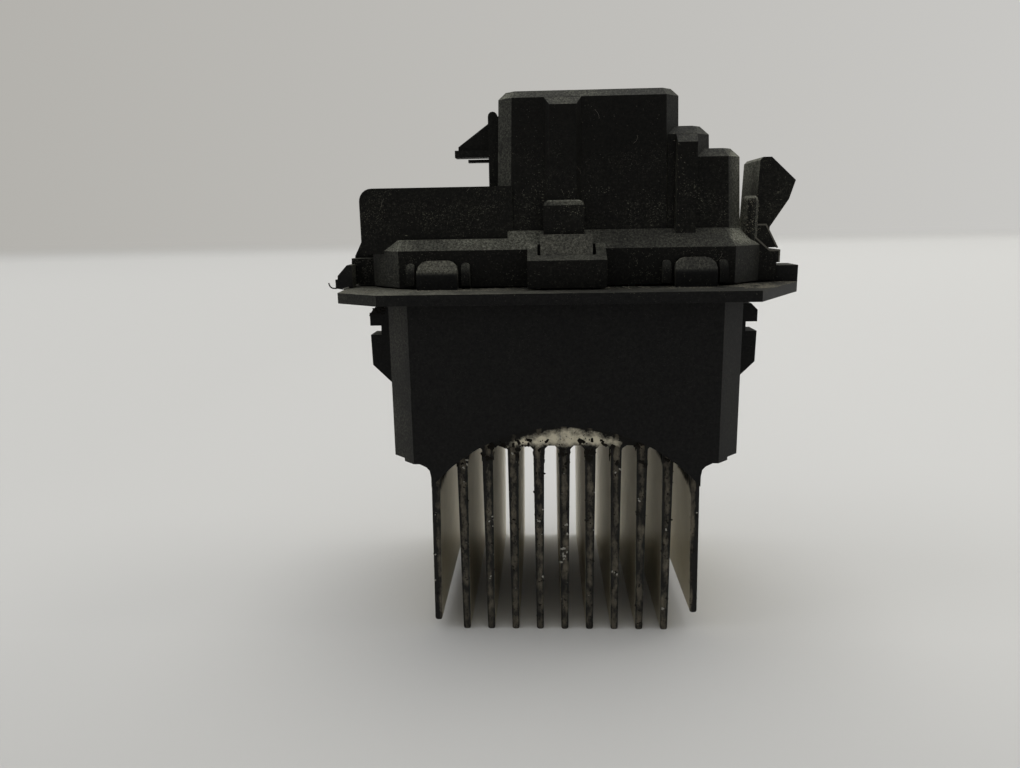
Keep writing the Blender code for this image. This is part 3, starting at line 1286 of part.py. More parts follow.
def make_transistor_clip():
    """A spring strip. Its two arms arch up from the screw and press on the transistors."""
    low = CLIP_BOTTOM
    rise = CLIP_ARM_RISE
    thick = CLIP_THICKNESS
    under = [
        (0.0, low),
        (CLIP_ARM_FLAT_X, low),
        (CLIP_ARM_CREST_X, low + rise),
        (TRANSISTOR_X, low),
        (TRANSISTOR_X + 2 * thick, low + rise),
    ]
    over = [(x, z + thick) for x, z in reversed(under)]
    left_under = [(-x, z) for x, z in reversed(under[1:])]
    left_over = [(-x, z + thick) for x, z in under[1:]]
    clip = outline_prism("clip", left_under + under + over + left_over, "XZ",
                         TRANSISTOR_Y - CLIP_WIDTH / 2, TRANSISTOR_Y + CLIP_WIDTH / 2)
    cut(clip, cylinder("clip_bore", SCREW_RADIUS + FIT_GAP, 0, TRANSISTOR_Y,
                       (low - SINK_IN, low + thick + SINK_IN)))
    return finish_part(clip, "transistor_clip", "spring_steel")


def make_sealing_bead():
    """Silicone between the heat sink's base and the ribs of the housing."""
    half_y = SINK_DEPTH / 2
    outer = corner_cut_outline(-SINK_BASE_HALF_X, SINK_BASE_HALF_X, -half_y, half_y,
                               SINK_BASE_CORNER, SINK_BASE_CORNER, SINK_BASE_CORNER,
                               SINK_BASE_CORNER)
    inner_x = SINK_BASE_HALF_X - BEAD_WIDTH
    inner_y = half_y - BEAD_WIDTH
    top = BEAD_BOTTOM + BEAD_THICKNESS
    bead = outline_prism("bead", outer, "XY", BEAD_BOTTOM, top)
    cut(bead, box("bead_inside", (-inner_x, inner_x), (-inner_y, inner_y),
                  (BEAD_BOTTOM - SINK_IN, top + SINK_IN)))
    return finish_part(bead, "sealing_bead", "silicone_grey")


def make_capacitor():
    top = CAPACITOR_TOP
    groove = CAPACITOR_RADIUS * 0.92
    profile = [
        (0.0, top),
        (groove, top),
        (CAPACITOR_RADIUS, top - CAPACITOR_RADIUS * 0.1),
        (CAPACITOR_RADIUS, PART_FOOT + CAPACITOR_RADIUS * 0.6),
        (groove, PART_FOOT + CAPACITOR_RADIUS * 0.45),
        (CAPACITOR_RADIUS, PART_FOOT + CAPACITOR_RADIUS * 0.3),
        (CAPACITOR_RADIUS, PART_FOOT),
        (0.0, PART_FOOT),
    ]
    can = turned("can", profile, CAPACITOR_X, CAPACITOR_Y)
    return finish_part(can, "capacitor", "sleeve")


def make_choke():
    """A ferrite spool, and the winding in its waist."""
    foot = PART_FOOT
    top = PART_FOOT + CHOKE_HEIGHT
    spool = turned("spool", [
        (0.0, top),
        (CHOKE_RADIUS, top),
        (CHOKE_RADIUS, top - CHOKE_FLANGE),
        (CHOKE_WAIST, top - CHOKE_FLANGE),
        (CHOKE_WAIST, foot + CHOKE_FLANGE),
        (CHOKE_RADIUS, foot + CHOKE_FLANGE),
        (CHOKE_RADIUS, foot),
        (0.0, foot),
    ], CHOKE_X, CHOKE_Y)
    finish_part(spool, "choke_core", "ferrite")
    low = foot + CHOKE_FLANGE + FIT_GAP
    high = top - CHOKE_FLANGE - FIT_GAP
    winding = turned_ring("turns", [
        (CHOKE_WAIST + FIT_GAP, high),
        (CHOKE_RADIUS - FIT_GAP, high),
        (CHOKE_RADIUS - FIT_GAP, low),
        (CHOKE_WAIST + FIT_GAP, low),
    ], CHOKE_X, CHOKE_Y)
    finish_part(winding, "choke_winding", "copper")


def make_driver_chip():
    half_x = CHIP_LENGTH / 2
    half_y = CHIP_WIDTH / 2
    lead_top = PART_FOOT + CHIP_HEIGHT / 2
    body = box("chip_body", (CHIP_X - half_x, CHIP_X + half_x), (CHIP_Y - half_y, CHIP_Y + half_y),
               (PART_FOOT + CHIP_LEAD_WIDTH / 2, PART_FOOT + CHIP_HEIGHT))
    for index in range(CHIP_LEADS):
        x = CHIP_X + (index - (CHIP_LEADS - 1) / 2) * CHIP_LEAD_PITCH
        for side in (-1, 1):
            near = CHIP_Y + side * (half_y - SINK_IN / 2)
            far = CHIP_Y + side * (half_y + CHIP_LEAD_REACH)
            join(body, box("chip_lead", (x - CHIP_LEAD_WIDTH / 2, x + CHIP_LEAD_WIDTH / 2),
                           (min(near, far), max(near, far)), (PART_FOOT, lead_top)))
    return finish_part(body, "driver_chip", "epoxy_black")


def make_shunt():
    """A bridge of resistance strip that measures the motor's current."""
    half = SHUNT_LENGTH / 2
    top = PART_FOOT + SHUNT_HEIGHT
    thick = SHUNT_THICKNESS
    profile = [
        (SHUNT_X - half, PART_FOOT),
        (SHUNT_X - half + thick, PART_FOOT),
        (SHUNT_X - half + thick, top - thick),
        (SHUNT_X + half - thick, top - thick),
        (SHUNT_X + half - thick, PART_FOOT),
        (SHUNT_X + half, PART_FOOT),
        (SHUNT_X + half, top),
        (SHUNT_X - half, top),
    ]
    strip = outline_prism("strip", profile, "XZ", SHUNT_Y - SHUNT_WIDTH / 2,
                          SHUNT_Y + SHUNT_WIDTH / 2)
    return finish_part(strip, "shunt", "copper")


def make_diode():
    body = box("diode_body", (DIODE_X - DIODE_LENGTH / 2, DIODE_X + DIODE_LENGTH / 2),
               (DIODE_Y - DIODE_WIDTH / 2, DIODE_Y + DIODE_WIDTH / 2),
               (PART_FOOT, PART_FOOT + DIODE_HEIGHT))
    edges = [("top", "left"), ("top", "right"), ("top", "front"), ("top", "back")]
    soften(body, edges, DIODE_HEIGHT * 0.15, 1)
    return finish_part(body, "suppressor_diode", "epoxy_black")


def make_terminal(name, x, y, width, thickness, top):
    """A straight blade or pin with a tapered tip, standing on the board."""
    half = width / 2
    taper = min(BLADE_TIP_TAPER, half * BLADE_TIP_SLOPE)
    shoulder = half - taper * BLADE_TIP_SLOPE
    profile = [
        (x - half, TERMINAL_FOOT),
        (x + half, TERMINAL_FOOT),
        (x + half, top - taper),
        (x + shoulder, top),
        (x - shoulder, top),
        (x - half, top - taper),
    ]
    blade = outline_prism(name + "_form", profile, "XZ", y - thickness / 2, y + thickness / 2)
    return finish_part(blade, name, "tinned_brass")


def make_jogged_blade(name, x, y, thickness, width, top):
    """A motor blade: it is bent twice, so that its foot reaches the board."""
    half = thickness / 2
    foot_x = MOTOR_BLADE_FOOT_X
    low = MOTOR_BLADE_JOG_START
    high = low + MOTOR_BLADE_JOG_RISE
    profile = [
        (foot_x - half, TERMINAL_FOOT),
        (foot_x + half, TERMINAL_FOOT),
        (foot_x + half, low + half),
        (x + half, high + half),
        (x + half, top),
        (x - half, top),
        (x - half, high - half),
        (foot_x - half, low - half),
    ]
    blade = outline_prism(name + "_form", profile, "XZ", y - width / 2, y + width / 2)
    taper = BLADE_TIP_TAPER
    for side in (-1, 1):
        edge = y + side * width / 2
        notch = [
            (edge - side * taper * BLADE_TIP_SLOPE, top + SINK_IN),
            (edge - side * taper * BLADE_TIP_SLOPE, top),
            (edge + side * SINK_IN, top - taper - SINK_IN / BLADE_TIP_SLOPE),
            (edge + side * SINK_IN, top + SINK_IN),
        ]
        cut(blade, outline_prism(name + "_tip", notch, "YZ", x - thickness, x + thickness))
    return finish_part(blade, name, "tinned_brass")


make_heat_sink()
make_lower_housing()
make_upper_cover()
make_sealing_bead()
make_circuit_board()
for post_number, (post_x, post_y) in enumerate(board_post_places(), 1):
    make_screw(f"board_screw_{post_number}", post_x, post_y, BOARD_TOP)
for transistor_number, hand in enumerate((-1, 1), 1):
    make_thermal_pad(transistor_number, hand * TRANSISTOR_X)
    make_transistor(transistor_number, hand * TRANSISTOR_X)
make_transistor_clip()
make_screw("clip_screw", 0.0, TRANSISTOR_Y, CLIP_BOTTOM + CLIP_THICKNESS)
make_capacitor()
make_choke()
make_driver_chip()
make_shunt()
make_diode()
for terminal_name, middle_x, middle_y, extent_x, extent_y, tip_z, _ in terminals():
    make = make_jogged_blade if terminal_name.startswith("motor") else make_terminal
    make(terminal_name, middle_x, middle_y, extent_x, extent_y, tip_z)
for part_name in ("capacitor", "choke_core", "choke_winding"):
    smooth_round(bpy.data.objects[part_name])
raise_everything(-FIN_TIPS)
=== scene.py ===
# %% [markdown]
# # A blower motor resistor, dressed as the used part that came out of a car
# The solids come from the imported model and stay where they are. This lesson gives them softer
# edges, aged and dusty finishes, and the crumbs and lint that years in an air duct leave.
# Everything is in metres: +Z up, +Y away from the camera, the fins stand on Z = 0.

# %% Load the frame
import math

import bmesh
import bpy
from mathutils import Matrix, Vector


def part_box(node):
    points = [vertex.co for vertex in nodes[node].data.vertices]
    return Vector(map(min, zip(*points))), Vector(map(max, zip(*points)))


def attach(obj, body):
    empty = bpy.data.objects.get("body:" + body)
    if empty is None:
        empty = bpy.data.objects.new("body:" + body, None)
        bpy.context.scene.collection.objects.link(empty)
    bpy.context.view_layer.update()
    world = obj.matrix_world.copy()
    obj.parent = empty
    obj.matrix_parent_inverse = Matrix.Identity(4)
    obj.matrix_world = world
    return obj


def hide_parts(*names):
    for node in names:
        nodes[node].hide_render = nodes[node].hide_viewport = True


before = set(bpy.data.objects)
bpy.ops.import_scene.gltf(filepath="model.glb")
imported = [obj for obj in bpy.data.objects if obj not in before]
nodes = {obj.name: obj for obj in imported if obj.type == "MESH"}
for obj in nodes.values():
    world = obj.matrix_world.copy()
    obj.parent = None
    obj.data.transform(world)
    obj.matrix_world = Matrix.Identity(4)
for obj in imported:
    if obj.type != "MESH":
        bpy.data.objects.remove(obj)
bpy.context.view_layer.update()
MM = 0.001

# %% [markdown]
# ## The camera
# The photograph was taken from the height of the flange, close by and with a wide lens, so
# near edges look larger than far ones. Its place and its three axes were worked out from the
# pitch of the fins and from the point at which the receding edges meet.

# %% Camera
CAMERA_PLACE = Vector((-0.003054, -0.133948, 0.065645))
CAMERA_RIGHT = Vector((0.99897, 0.04203, -0.01706))
CAMERA_UP = Vector((0.00786, 0.21013, 0.97764))
CAMERA_AHEAD = Vector((-0.04467, 0.97677, -0.20958))
FOCAL_PIXELS = 767.0
IMAGE_WIDTH = 1020
SENSOR_WIDTH = 36.0

camera_data = bpy.data.cameras.new("camera")
camera_data.sensor_fit = "HORIZONTAL"
camera_data.sensor_width = SENSOR_WIDTH
camera_data.lens = FOCAL_PIXELS / IMAGE_WIDTH * SENSOR_WIDTH
camera_data.clip_start = 0.01
camera_data.clip_end = 20.0
camera = bpy.data.objects.new("camera", camera_data)
bpy.context.scene.collection.objects.link(camera)
axes = Matrix((CAMERA_RIGHT, CAMERA_UP, -CAMERA_AHEAD)).transposed()
camera.matrix_world = Matrix.Translation(CAMERA_PLACE) @ axes.to_4x4()
bpy.context.scene.camera = camera
print("lens:", round(camera_data.lens, 2), "mm")

# %% [markdown]
# ## Helpers for nodes and colours
# Shader trees and geometry trees are built the same way: a node, its settings, and for each
# input either a value or the socket that feeds it. Short functions stand for the kinds of
# node that come up most. Colours are written as a painter's hex values, which a function
# turns into the linear numbers that the shaders work with.

# %% Helpers
def add_node(tree, kind, inputs=None, **settings):
    """Adds one node. Each input is given a value, or a socket to be linked from."""
    made = tree.nodes.new(kind)
    for name, value in settings.items():
        setattr(made, name, value)
    for key, value in (inputs or {}).items():
        socket = made.inputs[key]
        if isinstance(value, bpy.types.NodeSocket):
            tree.links.new(value, socket)
        else:
            socket.default_value = value
    return made


def linear(hex_value, alpha=1.0):
    """An sRGB hex colour as linear red, green, blue and alpha."""
    parts = [int(hex_value[i:i + 2], 16) / 255 for i in (1, 3, 5)]
    bright = [c / 12.92 if c <= 0.04045 else ((c + 0.055) / 1.055) ** 2.4 for c in parts]
    return (*bright, alpha)


def per_metre(size_mm):
    """The scale of a pattern whose features are this many millimetres wide."""
    return 1000.0 / size_mm


def calc(tree, operation, *values, clamp=False):
    """One step of arithmetic."""
    return add_node(tree, "ShaderNodeMath", dict(enumerate(values)), operation=operation,
                    use_clamp=clamp).outputs["Value"]


def remap(tree, value, low, high, to_low=0.0, to_high=1.0):
    """Carries the range from low to high over to another one. What lies outside is cut off."""
    return add_node(tree, "ShaderNodeMapRange", {
        "Value": value, "From Min": low, "From Max": high, "To Min": to_low,
        "To Max": to_high}).outputs["Result"]


def fade(tree, value, span_mm, start, end):
    """Goes from the start to the end value while the place crosses a span in millimetres."""
    return remap(tree, value, span_mm[0] * MM, span_mm[1] * MM, start, end)


def vector_calc(tree, operation, *values, output="Vector"):
    """One step of vector arithmetic."""
    return add_node(tree, "ShaderNodeVectorMath", dict(enumerate(values)),
                    operation=operation).outputs[output]


def noise(tree, place, width_mm, detail, roughness):
    """Cloudy noise whose largest features are about this wide."""
    return add_node(tree, "ShaderNodeTexNoise", {
        "Vector": place, "Scale": per_metre(width_mm), "Detail": detail,
        "Roughness": roughness}).outputs["Fac"]


def blend(tree, factor, start, end):
    """A colour between two others."""
    return add_node(tree, "ShaderNodeMix", {"Factor": factor, "A": start, "B": end},
                    data_type="RGBA").outputs[2]


def one_axis(tree, vector, axis):
    """One of a vector's three numbers."""
    return add_node(tree, "ShaderNodeSeparateXYZ", {"Vector": vector}).outputs[axis]


def add_relief(tree, shader, height, strength, depth_mm):
    """Lets the light see a fine relief in the surface."""
    bump = add_node(tree, "ShaderNodeBump", {
        "Height": height, "Strength": strength, "Distance": depth_mm * MM})
    tree.links.new(bump.outputs["Normal"], shader.inputs["Normal"])


def into_scene(name, data):
    """A new object at the origin."""
    made = bpy.data.objects.new(name, data)
    bpy.context.scene.collection.objects.link(made)
    return made


def finished_mesh(item):
    """The mesh of an object once its modifiers or its thickness have been worked out."""
    evaluated = item.evaluated_get(bpy.context.evaluated_depsgraph_get())
    return bpy.data.meshes.new_from_object(evaluated)


def new_surface(name):
    """A material with an empty Principled shader, and the coordinates its patterns use."""
    material = bpy.data.materials.new(name)
    material.use_nodes = True
    tree = material.node_tree
    shader = tree.nodes["Principled BSDF"]
    place = add_node(tree, "ShaderNodeTexCoord").outputs["Object"]
    return material, tree, shader, place


print("black nylon in linear light:", [round(v, 4) for v in linear("#1c1c1b")[:3]])

# %% [markdown]
# ## Glass-filled nylon, moulded
# The cover and the housing are black polyamide with glass fibre. Fresh from the mould it is
# satin; here it is dull, because grey-brown dust sits in its grain. Dust lies thick on faces
# that look up, so its mask starts from the face's direction. The same pale dust colour also
# paints light and shade: a painted highlight on corners turned to the sides, on the cover's far
# right corner, on the hooks' tops and along the edges, and painted shade where the cover's
# right-hand slopes get less of it. Upright faces hold single grains and short streaks instead,
# which are cells of a Voronoi pattern: each cell gets a chance size and brightness, and a slow
# noise says in which patches they are dense.

# %% Dust that lies
DUST_AND_SIDE_LIGHT_FROM = (0.40, 0.10, 0.88)     # dust settled from above; its share on corners that face sideways is painted side light
KEY_MIDDLE = 0.0                   # the plug's latch rubbed the tower around here, so faces turned to the sides get less, up to this far to either side, and keep this much of their dust and painted side light
RUBBED_MM = (3.6, 5.6)             # up to this far to either side,
RUBBED_SHARE = 0.35                # and left this much of the dust
COVER_SIDES = ((3, 8), 0.42)       # where the cover's right side begins, and its lower share of dust, which paints shade on its slopes
HOUSING_SIDES = ((-27, -22), 0.60)
LEFT_DUST = 1.30
CORNER_MM = (25.5, 28)             # the cover's far right corner, across and upwards, painted pale as a highlight
CORNER_SLOPE_MM = (61.0, 62.5)
CORNER_PAINTED_HIGHLIGHT = 3.0
HOOK_TOP_MM = (56.6, 58.2)         # heights between which a hook's paler top begins: dust, and painted light from above
HOOK_DUST_AND_LIGHT = 3.4
HOOK_SIDES_MM = (-10, 10)          # the left hook holds more dust than the right one
HOOK_SIDES_DUST = (1.6, 0.6)
WEDGE_FACE_MM = (59.5, 59.8)       # heights between which the wedge's sloped face begins
WEDGE_DUST_AND_LIGHT = (0.8, 3.8)
WEDGE_REACH_MM = (8, 10)           # the wedge ends within this distance of the middle
GUARD_FRONT_MM = (-15.6, -14.8)    # the guard and the stop stand in front of this depth
GUARD_DUST = 0.38


def dust_and_side_light_mask(tree, place, drift_mm, fluff_mm, lean, wall_amount):
    """How much dust colour a face gets: full on faces that look up, a little on upright ones, and
    more on faces turned to the sides, where it is painted side light.
    """
    normal = add_node(tree, "ShaderNodeNewGeometry").outputs["Normal"]
    parts = add_node(tree, "ShaderNodeSeparateXYZ", {"Vector": normal}).outputs
    # faces turned to the sides count as partly up: pale dust colour that paints side light on them
    sideways = calc(tree, "ABSOLUTE", parts["X"])
    across = calc(tree, "SUBTRACT", one_axis(tree, place, "X"), KEY_MIDDLE)
    across = calc(tree, "ABSOLUTE", across)
    rubbed = fade(tree, across, RUBBED_MM, RUBBED_SHARE, 1.0)
    sideways = calc(tree, "MULTIPLY", sideways, rubbed)
    folded = add_node(tree, "ShaderNodeCombineXYZ", {
        "X": sideways, "Y": parts["Y"], "Z": parts["Z"]}).outputs["Vector"]
    toward = vector_calc(tree, "DOT_PRODUCT", folded, DUST_AND_SIDE_LIGHT_FROM, output="Value")
    up = remap(tree, toward, lean, 0.85, wall_amount, 1.0)
    drift = noise(tree, place, drift_mm, 3.0, 0.6)
    fluff = noise(tree, place, fluff_mm, 6.0, 0.75)
    drifted = remap(tree, drift, 0.35, 0.68, 0.4, 1.2)
    fluffy = remap(tree, fluff, 0.36, 0.66, 0.25, 1.35)
    spread = calc(tree, "MULTIPLY", drifted, fluffy)
    return calc(tree, "MULTIPLY", up, spread, clamp=True)


def dust_and_painted_light_by_side(tree, place, span_mm, right_share):
    """More dust on the left side than on the right, whose lower share paints shade on the cover's
    slopes, and a painted highlight on the far right corner.
    """
    parts = add_node(tree, "ShaderNodeSeparateXYZ", {"Vector": place}).outputs
    left = fade(tree, parts["X"], span_mm, LEFT_DUST, right_share)
    # a painted highlight, laid as pale dust, on the far right corner's slope
    corner = fade(tree, parts["X"], CORNER_MM, 0.0, CORNER_PAINTED_HIGHLIGHT)
    slope = fade(tree, parts["Z"], CORNER_SLOPE_MM, 0.0, 1.0)
    corner = calc(tree, "MULTIPLY", corner, slope)
    return calc(tree, "ADD", left, corner)


def dust_and_light_on_hooks(tree, place):
    """The hooks' tops and the wedge's sloped face are paler than the guard around the wedge: dust,
    and painted light from above.
    """
    parts = add_node(tree, "ShaderNodeSeparateXYZ", {"Vector": place}).outputs
    hook = fade(tree, parts["Z"], HOOK_TOP_MM, 1.0, HOOK_DUST_AND_LIGHT)
    wedge = fade(tree, parts["Z"], WEDGE_FACE_MM, *WEDGE_DUST_AND_LIGHT)
    outward = fade(tree, calc(tree, "ABSOLUTE", parts["X"]), WEDGE_REACH_MM, 0.0, 1.0)
    side = fade(tree, parts["X"], HOOK_SIDES_MM, *HOOK_SIDES_DUST)
    both = add_node(tree, "ShaderNodeMix", {"Factor": outward, "A": wedge, "B": hook})
    return calc(tree, "MULTIPLY", both.outputs[0], side)


def wiped_guard(tree, place):
    """The guard and the stop stand out in front of the cover, so hands wiped them cleaner."""
    return fade(tree, one_axis(tree, place, "Y"), GUARD_FRONT_MM, GUARD_DUST, 1.0)


# %% Grains and streaks that cling
def speck_mask(tree, place, spacing_mm, share, patch_mm, patch_low, patch_high, flatness=1.0):
    """Grains in some patches of a face. A flatness over 1 draws them out into level streaks."""
    drawn = add_node(tree, "ShaderNodeMapping", {
        "Vector": place, "Scale": (1.0 / flatness, 1.0 / flatness, 1.0)}, vector_type="POINT")
    cells = add_node(tree, "ShaderNodeTexVoronoi", {
        "Vector": drawn.outputs["Vector"], "Scale": per_metre(spacing_mm), "Randomness": 1.0})
    luck = add_node(tree, "ShaderNodeSeparateColor", {"Color": cells.outputs["Color"]})
    patches = noise(tree, place, patch_mm, 4.0, 0.65)
    density = remap(tree, patches, patch_low, patch_high, 0.0, share)
    size = calc(tree, "MULTIPLY", luck.outputs["Red"], density)
    inside = calc(tree, "SUBTRACT", size, cells.outputs["Distance"])
    shape = remap(tree, inside, 0.0, 0.12)
    bright = calc(tree, "POWER", luck.outputs["Green"], 1.6)
    return calc(tree, "MULTIPLY", shape, bright)


def weighted_by_height(tree, mask, place, span_mm, low):
    """Fades a mask with the height, from a low share at one end of the span to the whole."""
    share = fade(tree, one_axis(tree, place, "Z"), span_mm, low, 1.0)
    return calc(tree, "MULTIPLY", mask, share)


def dust_film(tree, place, amount):
    """A thin uneven film between the grains, which the eye sees as a mottled grey."""
    cloud = noise(tree, place, FILM_MM, 3.0, 0.8)
    patches = noise(tree, place, 5.0, 3.0, 0.6)
    thick = remap(tree, cloud, 0.5, 0.72, 0.0, amount * 0.34)
    held = remap(tree, patches, 0.34, 0.6, 0.25, 1.0)
    return calc(tree, "MULTIPLY", thick, held)


# %% Nylon finish
FILM_MM = 0.45            # width of the film's blotches
DUST_GRAIN_MM = 0.36      # width of the light and dark grains in thick dust
NYLON_ROUGH = 0.50        # satin where it is clean
DUSTY_ROUGH = 0.95
NYLON_IOR = 1.5
NYLON_SHEEN = 0.13        # aged plastic mirrors less than its IOR alone would give
CLEAN_SHARE = 0.10        # what is left of the grains where the wall is cleanest
FOOT_MM = (61.0, 64.5)    # heights between which the cover's foot ends
FOOT_SHARE = 0.55         # the foot's share of grains
MOULD_GRAIN_MM = 0.22     # the spark-eroded grain of the mould
EDGE_BAND = "edge_band"   # an attribute: 1 on the narrow faces that round the edges


def moulded_nylon(name, plastic, worn, dust, grit, wall_dust, grains, streaks, edge_dust_and_highlight,
                  clean_above_mm, full_below_mm, hooks=False):
    """Black moulded polyamide with dust in its grain; the same pale colour also paints light on
    some faces and edges.
    """
    material, tree, shader, place = new_surface(name)
    dust_and_light_share = dust_and_side_light_mask(tree, place, 7.0, 0.34, 0.10, wall_dust)
    by_side = dust_and_painted_light_by_side(tree, place, *(HOUSING_SIDES if hooks else COVER_SIDES))
    dust_and_light_share = calc(tree, "MULTIPLY", dust_and_light_share, by_side)
    local = dust_and_light_on_hooks(tree, place) if hooks else wiped_guard(tree, place)
    dust_and_light_share = calc(tree, "MULTIPLY", dust_and_light_share, local)
    # the edge bands are painted pale: dust on the edges, and a painted highlight
    edge = add_node(tree, "ShaderNodeAttribute", attribute_name=EDGE_BAND).outputs["Fac"]
    rubbed = remap(tree, noise(tree, place, 1.6, 5.0, 0.7), 0.4, 0.7, 0.0, edge_dust_and_highlight)
    on_edge = calc(tree, "MULTIPLY", edge, rubbed)
    dust_and_light_share = calc(tree, "MAXIMUM", dust_and_light_share, on_edge, clamp=True)

    # Three sizes of grains, and the film between them
    fine = speck_mask(tree, place, 0.19, grains, 4.0, 0.30, 0.58)
    drawn_out = speck_mask(tree, place, 0.20, streaks, 2.2, 0.42, 0.64, flatness=3.0)
    coarse = speck_mask(tree, place, 0.60, grains * 0.28, 5.0, 0.44, 0.66)
    specks = calc(tree, "MAXIMUM", fine, drawn_out)
    specks = calc(tree, "MAXIMUM", specks, coarse)
    specks = calc(tree, "MAXIMUM", specks, dust_film(tree, place, grains))
    specks = weighted_by_height(tree, specks, place, (clean_above_mm, full_below_mm), CLEAN_SHARE)
    specks = weighted_by_height(tree, specks, place, FOOT_MM, FOOT_SHARE)

    tone = remap(tree, noise(tree, place, 0.5, 4.0, 0.8), 0.36, 0.66)
    body = blend(tree, tone, linear(plastic), linear(worn))
    grit_tone = remap(tree, noise(tree, place, DUST_GRAIN_MM, 3.0, 0.9), 0.4, 0.62)
    dust_tone = blend(tree, grit_tone, linear(dust[0]), linear(dust[1]))
    dust_and_light_colour = blend(tree, dust_and_light_share, body, dust_tone)
    gritty = blend(tree, specks, dust_and_light_colour, linear(grit))
    tree.links.new(gritty, shader.inputs["Base Color"])
    covered = calc(tree, "MAXIMUM", dust_and_light_share, specks)
    rough = remap(tree, covered, 0.0, 0.8, NYLON_ROUGH, DUSTY_ROUGH)
    tree.links.new(rough, shader.inputs["Roughness"])
    shader.inputs["IOR"].default_value = NYLON_IOR
    shader.inputs["Specular IOR Level"].default_value = NYLON_SHEEN

    # Grit stands on top of the mould's grain
    grain = noise(tree, place, MOULD_GRAIN_MM, 3.0, 0.6)
    relief = calc(tree, "MULTIPLY_ADD", specks, 0.8, grain)
    add_relief(tree, shader, relief, 0.4, 0.06)
    return material


COVER_NYLON = moulded_nylon(
    "glass_filled_nylon_cover", "#060605", "#141310", ("#4c4c45", "#949486"), "#6a695c",
    wall_dust=0.012, grains=0.56, streaks=0.50, edge_dust_and_highlight=0.70, clean_above_mm=77.0,
    full_below_mm=67.0)
HOUSING_NYLON = moulded_nylon(
    "glass_filled_nylon_housing", "#0b0b0c", "#181817", ("#4a4942", "#7c7b6f"), "#5b5a52",
    wall_dust=0.012, grains=0.34, streaks=0.30, edge_dust_and_highlight=0.55, clean_above_mm=20.0,
    full_below_mm=56.0, hooks=True)
print("made:", COVER_NYLON.name, HOUSING_NYLON.name)

# %% [markdown]
# ## Die-cast aluminium
# The heat sink left its die with a dull silver skin. Years of damp air have turned it beige
# and grey. The fins' long faces are still metal and mirror the bright room behind them; their
# front edges met the air stream, so they carry brown-black grime and white oxide. A dark
# crust also follows the arch of the housing. Grime isn't metal, so its mask takes the
# metallic value down too.

# %% Casting finish
SINK_LOW, SINK_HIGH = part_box("heat_sink")
FIN_TOP = 0.0312              # height of the fins' roots over the floor
FIN_PITCH = 4.0 * MM
ARCH_RADIUS = 0.0270          # the housing's arch, and the height of its middle
ARCH_MIDDLE = FIN_TOP + 0.0036 - ARCH_RADIUS
FACING_GRIME = (0.02, 0.56)   # added to the stains on a fin's long face, and on its front
PLATE_START = (FIN_TOP - 0.0010, FIN_TOP + 0.0006)
PLATE_GRIME = -0.585          # the base plate's face is cleaner
CRUST_MIDDLE = 0.0015         # the crust along the arch is thinnest here,
CRUST_REACH = 0.0110          # and whole this far to either side
CRUST_THICK = (0.22, 0.95)
WRAP_FROM, WRAP_TO = 0.0022, 0.0002   # grime reaches round a fin's front by this much
WRAP_GRIME = 0.22
FIN_EDGE_MM = (0.70, 1.15)    # distance from a fin's middle where its edge begins


def near_arch(tree, place, band):
    """1 at the housing's arch, falling to 0 within a band below it."""
    parts = add_node(tree, "ShaderNodeSeparateXYZ", {"Vector": place}).outputs
    rise = calc(tree, "SUBTRACT", parts["Z"], ARCH_MIDDLE)
    flat = add_node(tree, "ShaderNodeCombineXYZ", {"X": parts["X"], "Y": rise})
    away = vector_calc(tree, "LENGTH", flat.outputs["Vector"], output="Value")
    return remap(tree, away, ARCH_RADIUS - band, ARCH_RADIUS)


def fin_edges(tree, place, ragged):
    """1 along both edges of a fin's front, 0 in its middle. The noise makes the line ragged."""
    away = calc(tree, "PINGPONG", one_axis(tree, place, "X"), FIN_PITCH / 2)
    away = calc(tree, "MULTIPLY_ADD", ragged, 0.9 * MM, away)
    return fade(tree, away, FIN_EDGE_MM, 0.0, 1.0)


